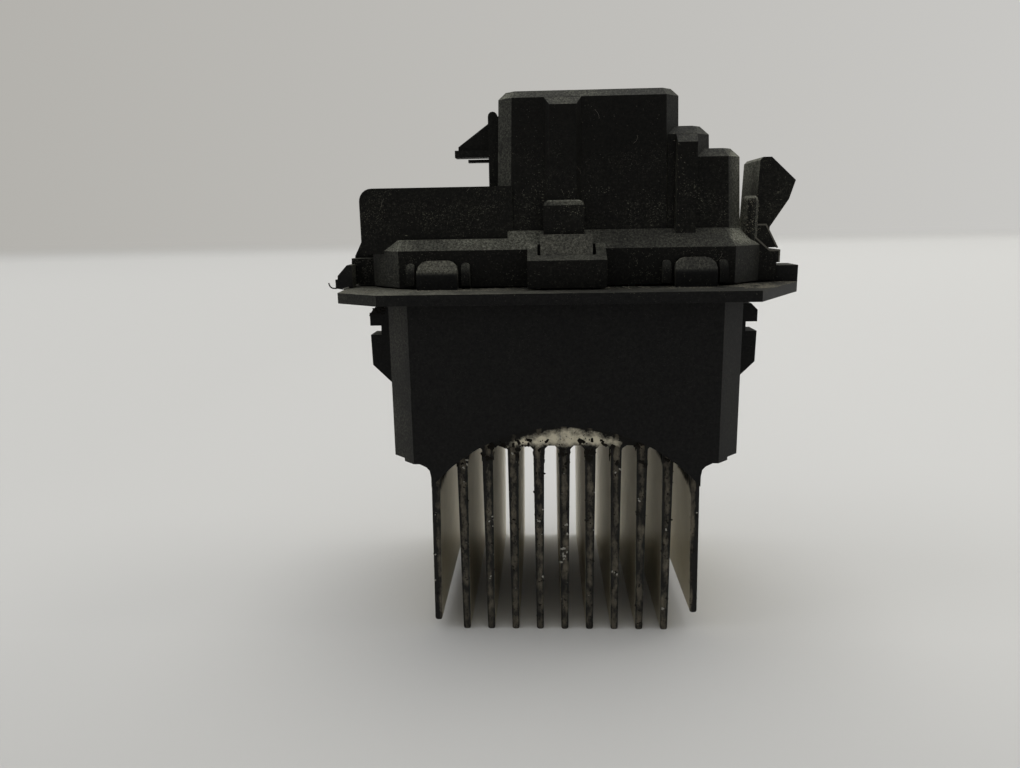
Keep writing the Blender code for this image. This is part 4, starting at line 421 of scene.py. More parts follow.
def grimy_casting(name):
    """Cast aluminium under brown-black grime and spots of white oxide."""
    material, tree, shader, place = new_surface(name)
    normal = add_node(tree, "ShaderNodeNewGeometry").outputs["Normal"]
    front = calc(tree, "ABSOLUTE", one_axis(tree, normal, "Y"))
    edge_on = remap(tree, front, 0.25, 0.85, *FACING_GRIME)
    stain = noise(tree, place, 1.5, 8.0, 0.75)
    stained = calc(tree, "ADD", stain, edge_on)
    base_plate = remap(tree, one_axis(tree, place, "Z"), *PLATE_START, 0.0, PLATE_GRIME)
    cleaner = calc(tree, "ADD", stained, base_plate)
    middle = calc(tree, "SUBTRACT", one_axis(tree, place, "X"), CRUST_MIDDLE)
    middle = calc(tree, "ABSOLUTE", middle)
    arch_dirt = remap(tree, middle, 0.0, CRUST_REACH, *CRUST_THICK)
    wrapped = calc(tree, "ABSOLUTE", one_axis(tree, place, "Y"))
    wrapped = remap(tree, wrapped, SINK_HIGH[1] - WRAP_FROM, SINK_HIGH[1] - WRAP_TO, 0.0,
                    WRAP_GRIME)
    cleaner = calc(tree, "ADD", cleaner, wrapped)
    band = add_node(tree, "ShaderNodeAttribute", attribute_name=EDGE_BAND).outputs["Fac"]
    cleaner = calc(tree, "MULTIPLY_ADD", band, 0.2, cleaner)
    crust = calc(tree, "MULTIPLY_ADD", near_arch(tree, place, 0.0022), arch_dirt, cleaner)
    crust = calc(tree, "MULTIPLY_ADD", near_arch(tree, place, 0.0009), 0.6, crust)
    grime = remap(tree, crust, 0.7, 0.98)
    oxide = speck_mask(tree, place, 0.60, 0.62, 2.6, 0.56, 0.72)

    tone = noise(tree, place, 5.0, 5.0, 0.6)
    metal = blend(tree, tone, linear("#bcb59e"), linear("#ddd6c2"))
    drawn = add_node(tree, "ShaderNodeMapping", {
        "Vector": place, "Scale": (1.0, 1.0, 0.5)}, vector_type="POINT")
    mottle = remap(tree, noise(tree, drawn.outputs["Vector"], 1.6, 7.0, 0.72), 0.4, 0.66)
    paler = calc(tree, "MULTIPLY_ADD", fin_edges(tree, place, stain), -0.85, mottle, clamp=True)
    dirt_tone = blend(tree, paler, linear("#12110e"), linear("#6a6355"))
    soiled = blend(tree, grime, metal, dirt_tone)
    crusted = blend(tree, oxide, soiled, linear("#c4c3bb"))
    tree.links.new(crusted, shader.inputs["Base Color"])
    dirt = calc(tree, "MAXIMUM", grime, oxide)
    metallic = remap(tree, dirt, 0.0, 1.0, 0.85, 0.0)
    tree.links.new(metallic, shader.inputs["Metallic"])
    rough = remap(tree, dirt, 0.0, 1.0, 0.36, 0.95)
    tree.links.new(rough, shader.inputs["Roughness"])

    # The casting's skin is pebbled at about 0.5 mm; crusts stand proud of it
    skin = noise(tree, place, 0.5, 5.0, 0.7)
    relief = calc(tree, "MULTIPLY_ADD", dirt, 0.6, skin)
    add_relief(tree, shader, relief, 0.45, 0.12)
    return material


CASTING = grimy_casting("die_cast_aluminium_weathered")
print("made:", CASTING.name, "heat sink height in mm:",
      round((SINK_HIGH[2] - SINK_LOW[2]) / MM, 1))

# %% [markdown]
# ## The finishes inside
# The electronics only show through the slots of the sockets, but each still gets the finish
# of its own material: green lacquer over glass laminate, moulded epoxy, tinned brass, copper,
# fired ferrite, zinc plate, spring steel, silicone and a shrunk sleeve.

# %% Plain finishes with grain
def plain_finish(name, light, dark, grain_mm, roughness, metallic=0.0, ior=1.5, relief_mm=0.01):
    """A finish with slight tone changes, uneven gloss and a fine relief."""
    material, tree, shader, place = new_surface(name)
    cloud = noise(tree, place, grain_mm * 6, 4.0, 0.6)
    colour = blend(tree, cloud, linear(dark), linear(light))
    tree.links.new(colour, shader.inputs["Base Color"])
    grain = noise(tree, place, grain_mm, 3.0, 0.6)
    gloss = remap(tree, grain, 0.3, 0.7, roughness - 0.08, roughness + 0.08)
    tree.links.new(gloss, shader.inputs["Roughness"])
    add_relief(tree, shader, grain, 0.4, relief_mm)
    shader.inputs["Metallic"].default_value = metallic
    if metallic == 0.0:
        shader.inputs["IOR"].default_value = ior
    return material


INNER_FINISHES = {
    "circuit_board": plain_finish("green_lacquered_laminate", "#1f5a37", "#174529", 0.4, 0.35),
    "driver_chip": plain_finish("moulded_epoxy_chip", "#2a2a2b", "#1d1d1e", 0.12, 0.6),
    "suppressor_diode": plain_finish("moulded_epoxy_diode", "#29292a", "#1b1b1c", 0.12, 0.6),
    "transistor": plain_finish("moulded_epoxy_transistor", "#2b2b2c", "#1c1c1d", 0.12, 0.55),
    "thermal_pad": plain_finish("silicone_pad", "#a9a8a2", "#94938d", 0.3, 0.75, ior=1.42),
    "sealing_bead": plain_finish("silicone_bead", "#8c8b86", "#75746f", 0.3, 0.6, ior=1.42),
    "transistor_clip": plain_finish("rolled_spring_steel", "#b9bbbe", "#9c9ea1", 0.2, 0.32, 1.0),
    "screw": plain_finish("zinc_plated_steel", "#c6c9cc", "#a8abae", 0.25, 0.35, 1.0),
    "capacitor": plain_finish("shrunk_sleeve", "#20222b", "#14161d", 0.5, 0.3),
    "choke_core": plain_finish("fired_ferrite", "#3d3d40", "#2b2b2e", 0.15, 0.6, ior=1.9),
    "choke_winding": plain_finish("enamelled_copper", "#b5653a", "#8e4524", 0.3, 0.35, 1.0),
    "shunt": plain_finish("copper_alloy_strip", "#a9714f", "#8a5639", 0.2, 0.4, 1.0),
    "blade": plain_finish("tinned_brass_blade", "#c3bfb2", "#a09b8c", 0.25, 0.38, 1.0),
    "pin": plain_finish("tinned_brass_pin", "#c8c4b8", "#a59f90", 0.25, 0.35, 1.0),
}


def wear_finish(node, material):
    """Gives a solid its finish. The slots stay, only what they hold changes."""
    if not node.material_slots:
        node.data.materials.append(material)
    for place in node.material_slots:
        place.material = material


for node_name, node in nodes.items():
    for key, finish in INNER_FINISHES.items():
        if key in node_name:
            wear_finish(node, finish)
print("inner finishes:", len(INNER_FINISHES))

# %% [markdown]
# ## Softer edges
# No moulded or cast edge is sharp: the tool's own corners are rounded by a tenth or two of a
# millimetre, and that narrow band is what catches the light along every step of the cover.
# A copy of each solid is merged, its flat faces are made whole again, and a bevel rounds the
# edges. The copy then stands for the solid, which stays for the mechanics.

# %% Edge rounding
HOOK_RAMP_MM = (57.2, 58.0)   # heights between which the hooks' ramps begin
HOOK_EDGE_MM = 4.0            # their edges are longer than this,
HOOK_DEPTH_MM = 15.0          # and this far from the middle
HOOK_WEAR_MM = 1.1            # how far their worn rounding reaches
MERGE_DISTANCE = 1e-6
FLAT_WITHIN = math.radians(0.6)
ROUNDED_OVER = math.radians(28)
SHARP_OVER = math.radians(50)


def mark_edge_bands(mesh):
    """Writes down which faces the bevel made: it gave them the second material slot."""
    band = mesh.attributes.new(EDGE_BAND, "FLOAT", "FACE")
    for face in mesh.polygons:
        band.data[face.index].value = float(face.material_index)
        face.material_index = 0


def weigh_hook_edges(form):
    """Marks the edges where the hooks' ramps begin, which are worn rounder than the others."""
    weight = form.edges.layers.float.new("bevel_weight_edge")
    for edge in form.edges:
        one, two = (corner.co / MM for corner in edge.verts)
        along_x = abs(one.x - two.x) > HOOK_EDGE_MM and abs(one.z - two.z) < 0.05
        on_ramp = HOOK_RAMP_MM[0] < one.z < HOOK_RAMP_MM[1] and abs(one.y) > HOOK_DEPTH_MM
        if along_x and on_ramp:
            edge[weight] = 1.0


def softened_copy(node_name, width_mm, material):
    """A copy of a solid with rounded edges, which is shown in its place."""
    name = node_name + "_skin"
    mesh = nodes[node_name].data.copy()
    mesh.name = name
    mesh.materials.clear()
    for slot_index in range(2):       # the bevel's faces get the second slot
        mesh.materials.append(material)
    form = bmesh.new()
    form.from_mesh(mesh)
    for face in form.faces:
        face.material_index = 0
    bmesh.ops.remove_doubles(form, verts=form.verts, dist=MERGE_DISTANCE)
    bmesh.ops.dissolve_limit(form, angle_limit=FLAT_WITHIN, verts=form.verts,
                             edges=form.edges, use_dissolve_boundaries=False)
    weigh_hook_edges(form)
    form.to_mesh(mesh)
    form.free()
    skin = into_scene(name, mesh)
    barrel = skin.modifiers.new("hooks", "BEVEL")
    barrel.width = HOOK_WEAR_MM * MM
    barrel.segments = 5
    barrel.limit_method = "WEIGHT"
    bevel = skin.modifiers.new("rounding", "BEVEL")
    bevel.width = width_mm * MM
    bevel.segments = 2
    bevel.limit_method = "ANGLE"
    bevel.angle_limit = ROUNDED_OVER
    bevel.use_clamp_overlap = True
    bevel.material = 1
    shading = skin.modifiers.new("shading", "WEIGHTED_NORMAL")
    shading.mode = "FACE_AREA"
    shading.weight = 80
    mesh.shade_smooth()
    mesh.set_sharp_from_angle(angle=SHARP_OVER)
    bpy.context.view_layer.update()
    rounded = finished_mesh(skin)
    skin.modifiers.clear()
    skin.data = rounded
    rounded.name = name
    mark_edge_bands(rounded)
    rounded.materials.clear()
    rounded.materials.append(material)
    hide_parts(node_name)
    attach(skin, "root")
    print(name, "faces:", len(rounded.polygons))
    return skin


cover_skin = softened_copy("upper_cover", 0.16, COVER_NYLON)
housing_skin = softened_copy("lower_housing", 0.16, HOUSING_NYLON)
sink_skin = softened_copy("heat_sink", 0.12, CASTING)

# %% [markdown]
# ## Crumbs of dirt
# Grit, lint and oxide have a height of their own, so the larger bits are real lumps, not only
# colour. Geometry Nodes scatter them: points fall on the faces inside a box, where a noise
# says that dirt holds, and each gets a small lump that is dented, turned and sized by chance
# with a fixed seed. One tree serves every kind of crumb, through its named inputs.

# %% Crumb tree
FACING_SHARE = 0.5            # a face counts as turned to a direction within 60 degrees of it


def add_inputs(tree, labels_and_kinds):
    """Gives a tree its named inputs, and returns the sockets inside it."""
    face = tree.interface
    face.new_socket("Surface", in_out="INPUT", socket_type="NodeSocketGeometry")
    for label, kind in labels_and_kinds:
        face.new_socket(label, in_out="INPUT", socket_type="NodeSocket" + kind)
    face.new_socket("Pieces", in_out="OUTPUT", socket_type="NodeSocketGeometry")
    return add_node(tree, "NodeGroupInput").outputs


PLACE_INPUTS = (("Density", "Float"), ("Seed", "Int"), ("Box Middle", "Vector"),
                ("Box Half", "Vector"), ("Patch Scale", "Float"), ("Patch Limit", "Float"),
                ("Facing", "Vector"), ("Smallest", "Float"), ("Largest", "Float"),
                ("Flatness", "Float"), ("Finish", "Material"))


def kept_points(tree, given):
    """Points all over the surface, of which those in the box, in a patch and turned right stay."""
    spread = add_node(tree, "GeometryNodeDistributePointsOnFaces", {
        "Mesh": given["Surface"], "Density": given["Density"], "Seed": given["Seed"]})
    place = add_node(tree, "GeometryNodeInputPosition").outputs["Position"]
    offset = vector_calc(tree, "SUBTRACT", place, given["Box Middle"])
    share = vector_calc(tree, "DIVIDE", offset, given["Box Half"])
    size = vector_calc(tree, "ABSOLUTE", share)
    parts = add_node(tree, "ShaderNodeSeparateXYZ", {0: size}).outputs
    widest = calc(tree, "MAXIMUM", parts["X"], parts["Y"])
    widest = calc(tree, "MAXIMUM", widest, parts["Z"])
    outside = calc(tree, "GREATER_THAN", widest, 1.0)
    patch = add_node(tree, "ShaderNodeTexNoise", {
        "Vector": place, "Scale": given["Patch Scale"], "Detail": 3.0})
    bare = calc(tree, "LESS_THAN", patch.outputs["Fac"], given["Patch Limit"])
    toward = vector_calc(tree, "DOT_PRODUCT", spread.outputs["Normal"], given["Facing"],
                         output="Value")
    least = vector_calc(tree, "LENGTH", given["Facing"], output="Value")
    least = calc(tree, "MULTIPLY_ADD", least, FACING_SHARE, -0.01)
    turned_away = calc(tree, "LESS_THAN", toward, least)
    dropped = calc(tree, "MAXIMUM", outside, bare)
    dropped = calc(tree, "MAXIMUM", dropped, turned_away)
    points = add_node(tree, "GeometryNodeDeleteGeometry", {
        "Geometry": spread.outputs["Points"], "Selection": dropped}, domain="POINT")
    return points.outputs["Geometry"], spread.outputs["Rotation"]


def turned_by_chance(tree, given, rotation):
    """The face's own direction, spun around it by a chance angle."""
    angle = add_node(tree, "FunctionNodeRandomValue", {
        2: 0.0, 3: 2 * math.pi, "Seed": given["Seed"]}, data_type="FLOAT")
    spin = add_node(tree, "FunctionNodeAxisAngleToRotation", {
        "Axis": (0.0, 0.0, 1.0), "Angle": angle.outputs[1]})
    return add_node(tree, "FunctionNodeRotateRotation", {
        "Rotation": rotation, "Rotate By": spin.outputs["Rotation"]},
        rotation_space="LOCAL").outputs["Rotation"]


def finished_pieces(tree, given, geometry):
    """The last two nodes of both trees: real faces, with the finish on them."""
    finished = add_node(tree, "GeometryNodeSetMaterial", {
        "Geometry": geometry, "Material": given["Finish"]})
    add_node(tree, "NodeGroupOutput", {"Pieces": finished.outputs["Geometry"]})


def build_crumb_tree():
    """Lays a dented lump on each kept point."""
    tree = bpy.data.node_groups.new("scatter_crumbs", "GeometryNodeTree")
    given = add_inputs(tree, PLACE_INPUTS)
    points, rotation = kept_points(tree, given)
    ball = add_node(tree, "GeometryNodeMeshIcoSphere", {"Radius": 1.0, "Subdivisions": 1})
    place = add_node(tree, "GeometryNodeInputPosition").outputs["Position"]
    dents = add_node(tree, "ShaderNodeTexNoise", {"Vector": place, "Scale": 1.3, "Detail": 2.0})
    push = vector_calc(tree, "SUBTRACT", dents.outputs["Color"], (0.5, 0.5, 0.5))
    push = add_node(tree, "ShaderNodeVectorMath", {0: push, "Scale": 2.2}, operation="SCALE")
    lump = add_node(tree, "GeometryNodeSetPosition", {
        "Geometry": ball.outputs["Mesh"], "Offset": push.outputs["Vector"]})
    width = add_node(tree, "FunctionNodeRandomValue", {
        2: given["Smallest"], 3: given["Largest"], "Seed": given["Seed"]}, data_type="FLOAT")
    length = add_node(tree, "FunctionNodeRandomValue", {
        2: 0.7, 3: 1.5, "Seed": given["Seed"]}, data_type="FLOAT")
    shape = add_node(tree, "ShaderNodeCombineXYZ", {
        "X": length.outputs[1], "Y": 0.8, "Z": given["Flatness"]})
    shape = add_node(tree, "ShaderNodeVectorMath", {
        0: shape.outputs["Vector"], "Scale": width.outputs[1]}, operation="SCALE")
    placed = add_node(tree, "GeometryNodeInstanceOnPoints", {
        "Points": points, "Instance": lump.outputs["Geometry"],
        "Rotation": turned_by_chance(tree, given, rotation), "Scale": shape.outputs["Vector"]})
    real = add_node(tree, "GeometryNodeRealizeInstances", {
        "Geometry": placed.outputs["Instances"]})
    finished_pieces(tree, given, real.outputs["Geometry"])
    return tree


CRUMB_TREE = build_crumb_tree()
print("crumb tree nodes:", len(CRUMB_TREE.nodes))

# %% Scatter
def grown_on(name, tree, surface, values):
    """Runs a tree on a copy of one surface, and keeps the result as a plain mesh piece."""
    carrier = into_scene(name + "_carrier", surface.data.copy())
    modifier = carrier.modifiers.new("growth", "NODES")
    modifier.node_group = tree
    for item in tree.interface.items_tree:
        if item.in_out == "INPUT" and item.name in values:
            modifier[item.identifier] = values[item.name]
    mesh = finished_mesh(carrier)
    carrier.modifiers.clear()
    bpy.data.objects.remove(carrier, do_unlink=True)
    mesh.name = name
    piece = into_scene(name, mesh)
    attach(piece, "root")
    print(name, "triangles:", sum(len(p.vertices) - 2 for p in mesh.polygons))


def scatter(name, surface, low_mm, high_mm, finish, per_square_mm, smallest_mm, largest_mm,
            seed, patch_mm=2.5, patch_limit=0.5, facing=(0.0, 0.0, 0.0), flatness=0.45,
            tree=CRUMB_TREE):
    """Crumbs, or another kind of bits, on one surface inside a box."""
    low = Vector(low_mm) * MM
    high = Vector(high_mm) * MM
    grown_on(name, tree, surface, {
        "Density": per_square_mm * 1e6, "Smallest": smallest_mm * MM / 2,
        "Largest": largest_mm * MM / 2, "Seed": seed, "Box Middle": (low + high) / 2,
        "Box Half": (high - low) / 2, "Patch Scale": per_metre(patch_mm),
        "Patch Limit": patch_limit, "Facing": facing, "Flatness": flatness, "Finish": finish})


# %% [markdown]
# ## What the crumbs are made of
# Four kinds show on this part: grey-brown duct dust and paler mineral grit on the plastic,
# near-black greasy clumps on the fins, and chalky aluminium oxide. All are dull and rough.

# %% Dirt finishes
def dull_finish(name, light, dark):
    """A dry, dull finish without any gloss."""
    material, tree, shader, place = new_surface(name)
    mix = noise(tree, place, 0.35, 4.0, 0.7)
    colour = blend(tree, mix, linear(dark), linear(light))
    tree.links.new(colour, shader.inputs["Base Color"])
    add_relief(tree, shader, mix, 0.6, 0.04)
    shader.inputs["Roughness"].default_value = 0.97
    shader.inputs["Specular IOR Level"].default_value = 0.15
    return material


DUCT_DUST = dull_finish("duct_dust", "#5f5e55", "#33322c")
GREASY_DIRT = dull_finish("greasy_dirt", "#26231d", "#0c0b0a")
OXIDE = dull_finish("aluminium_oxide", "#b9b7ae", "#7d7a70")
PALE_GRIT = dull_finish("mineral_grit", "#989383", "#4b483f")

# %% Crumbs on the plastic
FRONT = (0.0, -1.0, 0.0)
UP = (0.0, 0.0, 1.0)
scatter("grit_on_cover", cover_skin, (-32, -20, 55), (39, 20, 86), DUCT_DUST,
        0.9, 0.05, 0.13, 11, 3.0, 0.50)
scatter("grit_on_flange", housing_skin, (-37, -24, 54.5), (39, 24, 60), DUCT_DUST,
        1.1, 0.06, 0.16, 12, 3.0, 0.50)
scatter("grit_along_foot", housing_skin, (-37, -18.5, 55.0), (38, -12.0, 55.6), PALE_GRIT,
        9.0, 0.06, 0.22, 16, 2.6, 0.50, UP)
scatter("grit_by_nub", housing_skin, (26, -20, 55.0), (38, -6.0, 55.6), PALE_GRIT,
        12.0, 0.06, 0.26, 19, 3.0, 0.42, UP)
scatter("grit_on_pip", cover_skin, (27.6, -10, 62.5), (31.4, -6.8, 68.9), PALE_GRIT,
        9.0, 0.05, 0.17, 20, 1.4, 0.44)
scatter("grit_in_step_corner", cover_skin, (17.0, -16, 62), (18.6, -10, 79), PALE_GRIT,
        3.0, 0.05, 0.15, 23, 1.5, 0.47)
scatter("grit_on_catch", cover_skin, (-34.9, -7.8, 55.4), (-31.0, -7.0, 60.0), DUCT_DUST,
        14.0, 0.06, 0.22, 24, 1.2, 0.46)
scatter("grit_on_left_corner", cover_skin, (-30.0, -15, 55.6), (-25.5, -10, 60.0), DUCT_DUST,
        9.0, 0.08, 0.26, 25, 1.6, 0.50)
scatter("flakes_on_lug", housing_skin, (-33.8, -3.2, 49.7), (-30.5, 3.2, 51.6), GREASY_DIRT,
        7.0, 0.20, 0.60, 17, 1.0, 0.42, flatness=0.6)

# %% Crumbs on the casting
scatter("clumps_on_fins", sink_skin, (-23, -20, 0.8), (23, -18.5, 32.0), GREASY_DIRT,
        1.8, 0.18, 0.44, 13, 1.6, 0.56, FRONT, 0.22)
# dark lumps at the tops of the gaps: greasy dirt, and painted shade where the gaps meet the base
scatter("dirt_and_shade_in_gap_tops", sink_skin, (-20, -20, 28.0), (20, -17.5, 32.2), GREASY_DIRT,
        5.0, 0.25, 0.75, 18, 1.6, 0.54, flatness=0.35)
scatter("specks_on_fins", sink_skin, (-23, -20, 0.5), (23, -18.8, 36), GREASY_DIRT,
        3.0, 0.08, 0.22, 14, 2.0, 0.53, FRONT)
scatter("oxide_on_fins", sink_skin, (-23, -20, 0.8), (23, -18.8, 36), OXIDE,
        2.4, 0.14, 0.42, 15, 3.0, 0.64, FRONT)

# %% [markdown]
# ## Lint
# Lint clings to the part here and there: short curved hairs, three or four hundredths of a
# millimetre thick. The tree picks one of three bent curves for each point, lays it on the
# face, and gives every curve a three-sided thread's thickness after the curves have been
# scaled, so that long and short hairs are equally thin.

# %% Lint tree
HAIR_THICKNESS = 0.035 * MM
HAIR_BENDS = (((0.1, 0.22, 0.03), (0.5, -0.05, 0.01)),
              ((-0.1, -0.45, 0.05), (0.35, -0.35, 0.02)),
              ((0.2, 0.08, 0.02), (0.5, 0.16, 0.03)))


def build_lint_tree():
    """Lays a bent hair on each kept point."""
    tree = bpy.data.node_groups.new("lay_lint", "GeometryNodeTree")
    given = add_inputs(tree, PLACE_INPUTS)
    points, rotation = kept_points(tree, given)
    hairs = add_node(tree, "GeometryNodeGeometryToInstance")
    for middle, end in HAIR_BENDS:
        bent = add_node(tree, "GeometryNodeCurveQuadraticBezier", {
            "Resolution": 8, "Start": (-0.5, 0.0, 0.0), "Middle": middle, "End": end})
        tree.links.new(bent.outputs["Curve"], hairs.inputs["Geometry"])
    length = add_node(tree, "FunctionNodeRandomValue", {
        2: given["Smallest"], 3: given["Largest"], "Seed": given["Seed"]}, data_type="FLOAT")
    placed = add_node(tree, "GeometryNodeInstanceOnPoints", {
        "Points": points, "Instance": hairs.outputs["Instances"], "Pick Instance": True,
        "Rotation": turned_by_chance(tree, given, rotation), "Scale": length.outputs[1]})
    real = add_node(tree, "GeometryNodeRealizeInstances", {
        "Geometry": placed.outputs["Instances"]})
    section = add_node(tree, "GeometryNodeCurvePrimitiveCircle", {
        "Resolution": 3, "Radius": HAIR_THICKNESS / 2}, mode="RADIUS")
    threads = add_node(tree, "GeometryNodeCurveToMesh", {
        "Curve": real.outputs["Geometry"], "Profile Curve": section.outputs["Curve"],
        "Fill Caps": True})
    finished_pieces(tree, given, threads.outputs["Mesh"])
    return tree


LINT_TREE = build_lint_tree()
LINT = dull_finish("textile_lint", "#8a867b", "#5f5c54")
PALE_LINT = dull_finish("pale_textile_lint", "#c9c6bb", "#a3a095")
scatter("lint_on_cover", cover_skin, (-34, -22, 55), (39, 22, 84), LINT,
        0.012, 1.2, 3.4, 21, 4.0, 0.46, tree=LINT_TREE)
scatter("lint_on_flange", housing_skin, (-38, -24, 53), (39, 24, 62), LINT,
        0.040, 1.2, 3.6, 22, 4.0, 0.46, UP, tree=LINT_TREE)

# %% Two threads at the left nub
CAUGHT_THREAD_MM = ((-37.75, -10.6, 56.1), (-37.6, -10.7, 55.6), (-37.3, -10.8, 55.32),
                    (-36.9, -10.8, 55.22), (-36.4, -10.6, 55.26))
PALE_THREAD_MM = ((-35.1, -12.0, 55.26), (-34.7, -10.8, 55.34), (-34.2, -9.2, 55.40),
                  (-33.7, -7.6, 55.60))


def thread(name, points_mm, thickness_mm, finish):
    """One bent thread through the given points, as a thin tube."""
    curve = bpy.data.curves.new(name, "CURVE")
    curve.dimensions = "3D"
    curve.bevel_depth = thickness_mm * MM / 2
    curve.bevel_resolution = 1
    curve.use_fill_caps = True
    line = curve.splines.new("NURBS")
    line.points.add(len(points_mm) - 1)
    for point, spot in zip(line.points, points_mm):
        point.co = (*(Vector(spot) * MM), 1.0)
    line.use_endpoint_u = True
    line.order_u = 4
    line.resolution_u = 4
    carrier = into_scene(name + "_carrier", curve)
    mesh = finished_mesh(carrier)
    bpy.data.objects.remove(carrier, do_unlink=True)
    mesh.name = name
    mesh.materials.clear()
    mesh.materials.append(finish)
    piece = into_scene(name, mesh)
    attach(piece, "root")
    print(name, "faces:", len(mesh.polygons))


thread("caught_thread", CAUGHT_THREAD_MM, 0.22, GREASY_DIRT)
thread("pale_thread", PALE_THREAD_MM, 0.14, PALE_LINT)

# %% [markdown]
# ## Pale rims on the right clip
# The clip's two plates are as dark as what lies behind them. What the eye sees of them is a
# narrow pale line along their upper edges, where the edges catch the light and hold dust. A
# narrow raised rim paints that line on each plate: a painted highlight, with dust. Each rim is
# a closed strip that follows the plate's outline at a constant width.

# %% Rims
RIM_WIDTH = 0.24 * MM
RIM_PROUD = 0.07 * MM
FRONT_PLATE_HIGHLIGHT_MM = ((30.4, 62.41), (32.8, 60.3), (34.4, 60.3), (34.4, 58.3))
BACK_PLATE_HIGHLIGHT_MM = ((29.9, 64.3), (32.3, 64.3), (34.3, 60.6))


def painted_highlight_rim(name, points_mm, front_mm, finish):
    """A pale strip along an outline on a plate's front, to the right of its direction of travel,
    which paints the highlight of its edge.
    """
    outer = [Vector((x, z)) * MM for x, z in points_mm]
    steps = [(b - a).normalized() for a, b in zip(outer, outer[1:])]
    steps = [steps[0], *steps, steps[-1]]
    form = bmesh.new()
    sections = []
    for point, before, after in zip(outer, steps, steps[1:]):
        along = (before + after).normalized()
        inward = Vector((along.y, -along.x)) / max(0.5, along.dot(after))
        inner = point + inward * RIM_WIDTH
        depths = (front_mm * MM - RIM_PROUD, front_mm * MM + RIM_PROUD)
        sections.append([form.verts.new((spot.x, y, spot.y))
                         for spot, y in ((point, depths[0]), (inner, depths[0]),
                                         (inner, depths[1]), (point, depths[1]))])
    for one, two in zip(sections, sections[1:]):
        for index in range(4):
            following = (index + 1) % 4
            form.faces.new((one[index], two[index], two[following], one[following]))
    form.faces.new(sections[0])
    form.faces.new(reversed(sections[-1]))
    bmesh.ops.recalc_face_normals(form, faces=form.faces)
    mesh = bpy.data.meshes.new(name)
    form.to_mesh(mesh)
    form.free()
    mesh.materials.append(finish)
    piece = into_scene(name, mesh)
    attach(piece, "root")
    print(name, "faces:", len(mesh.polygons))


# pale paint for the clip's edges: a painted highlight, with dust
EDGE_HIGHLIGHT_AND_DUST = dull_finish("painted_edge_highlight_and_dust", "#76736a", "#4a4842")
painted_highlight_rim("front_plate_highlight_rim", FRONT_PLATE_HIGHLIGHT_MM, -9.2, EDGE_HIGHLIGHT_AND_DUST)
painted_highlight_rim("back_plate_highlight_rim", BACK_PLATE_HIGHLIGHT_MM, -8.3, EDGE_HIGHLIGHT_AND_DUST)

# %% [markdown]
# ## Floor and backdrop
# The part stood on a pale desk in front of a pale wall. Both are one swept sheet with a soft
# bend. They aren't part of the object. The wall only shows itself to the camera and in
# reflections; other rays pass through it, so it takes no light away from the desk or the
# part.

# %% Stage
WALL_LEFT = (-3.5, 0.92)      # the wall stands slightly askew behind the desk
WALL_RIGHT = (3.5, 2.18)
DESK_FRONT = -1.6
WALL_HEIGHT = 2.4
BEND_RADIUS = 0.05
BEND_STEPS = 8
WALL_STARTS = 0.004           # heights between which the desk's colour turns into the wall's
WALL_WHOLE = 0.030
DESK_ACROSS = (-0.14, 0.10)   # painted shade: the desk is darker at its left
DESK_LEFT_SHADE = 0.93
DESK_DEPTH = (-0.056, -0.022)  # and painted darker close to the camera
DESK_NEAR_SHADE = 0.88
WALL_ACROSS = (-1.1, 1.2)     # the wall's glow is painted darker to the left, between these


def swept_sheet():
    """Desk, bend and wall as one strip of faces."""
    form = bmesh.new()
    rails = []
    for x, wall_y in (WALL_LEFT, WALL_RIGHT):
        rail = [(x, DESK_FRONT, 0.0)]
        for step in range(BEND_STEPS + 1):
            angle = math.pi / 2 * step / BEND_STEPS
            rail.append((x, wall_y - BEND_RADIUS + BEND_RADIUS * math.sin(angle),
                         BEND_RADIUS - BEND_RADIUS * math.cos(angle)))
        rail.append((x, wall_y, WALL_HEIGHT))
        rails.append([form.verts.new(point) for point in rail])
    for index in range(len(rails[0]) - 1):
        form.faces.new((rails[0][index], rails[1][index], rails[1][index + 1], rails[0][index + 1]))
    mesh = bpy.data.meshes.new("desk_and_wall")
    form.to_mesh(mesh)
    form.free()
    mesh.shade_smooth()
    return into_scene("desk_and_wall", mesh)


def seen_or_mirrored(tree):
    """1 for rays from the eye, from a mirror or through glass, and 0 for all other light."""
    rays = add_node(tree, "ShaderNodeLightPath").outputs
    shown = calc(tree, "MAXIMUM", rays["Is Camera Ray"], rays["Is Glossy Ray"])
    return calc(tree, "MAXIMUM", shown, rays["Is Transmission Ray"])


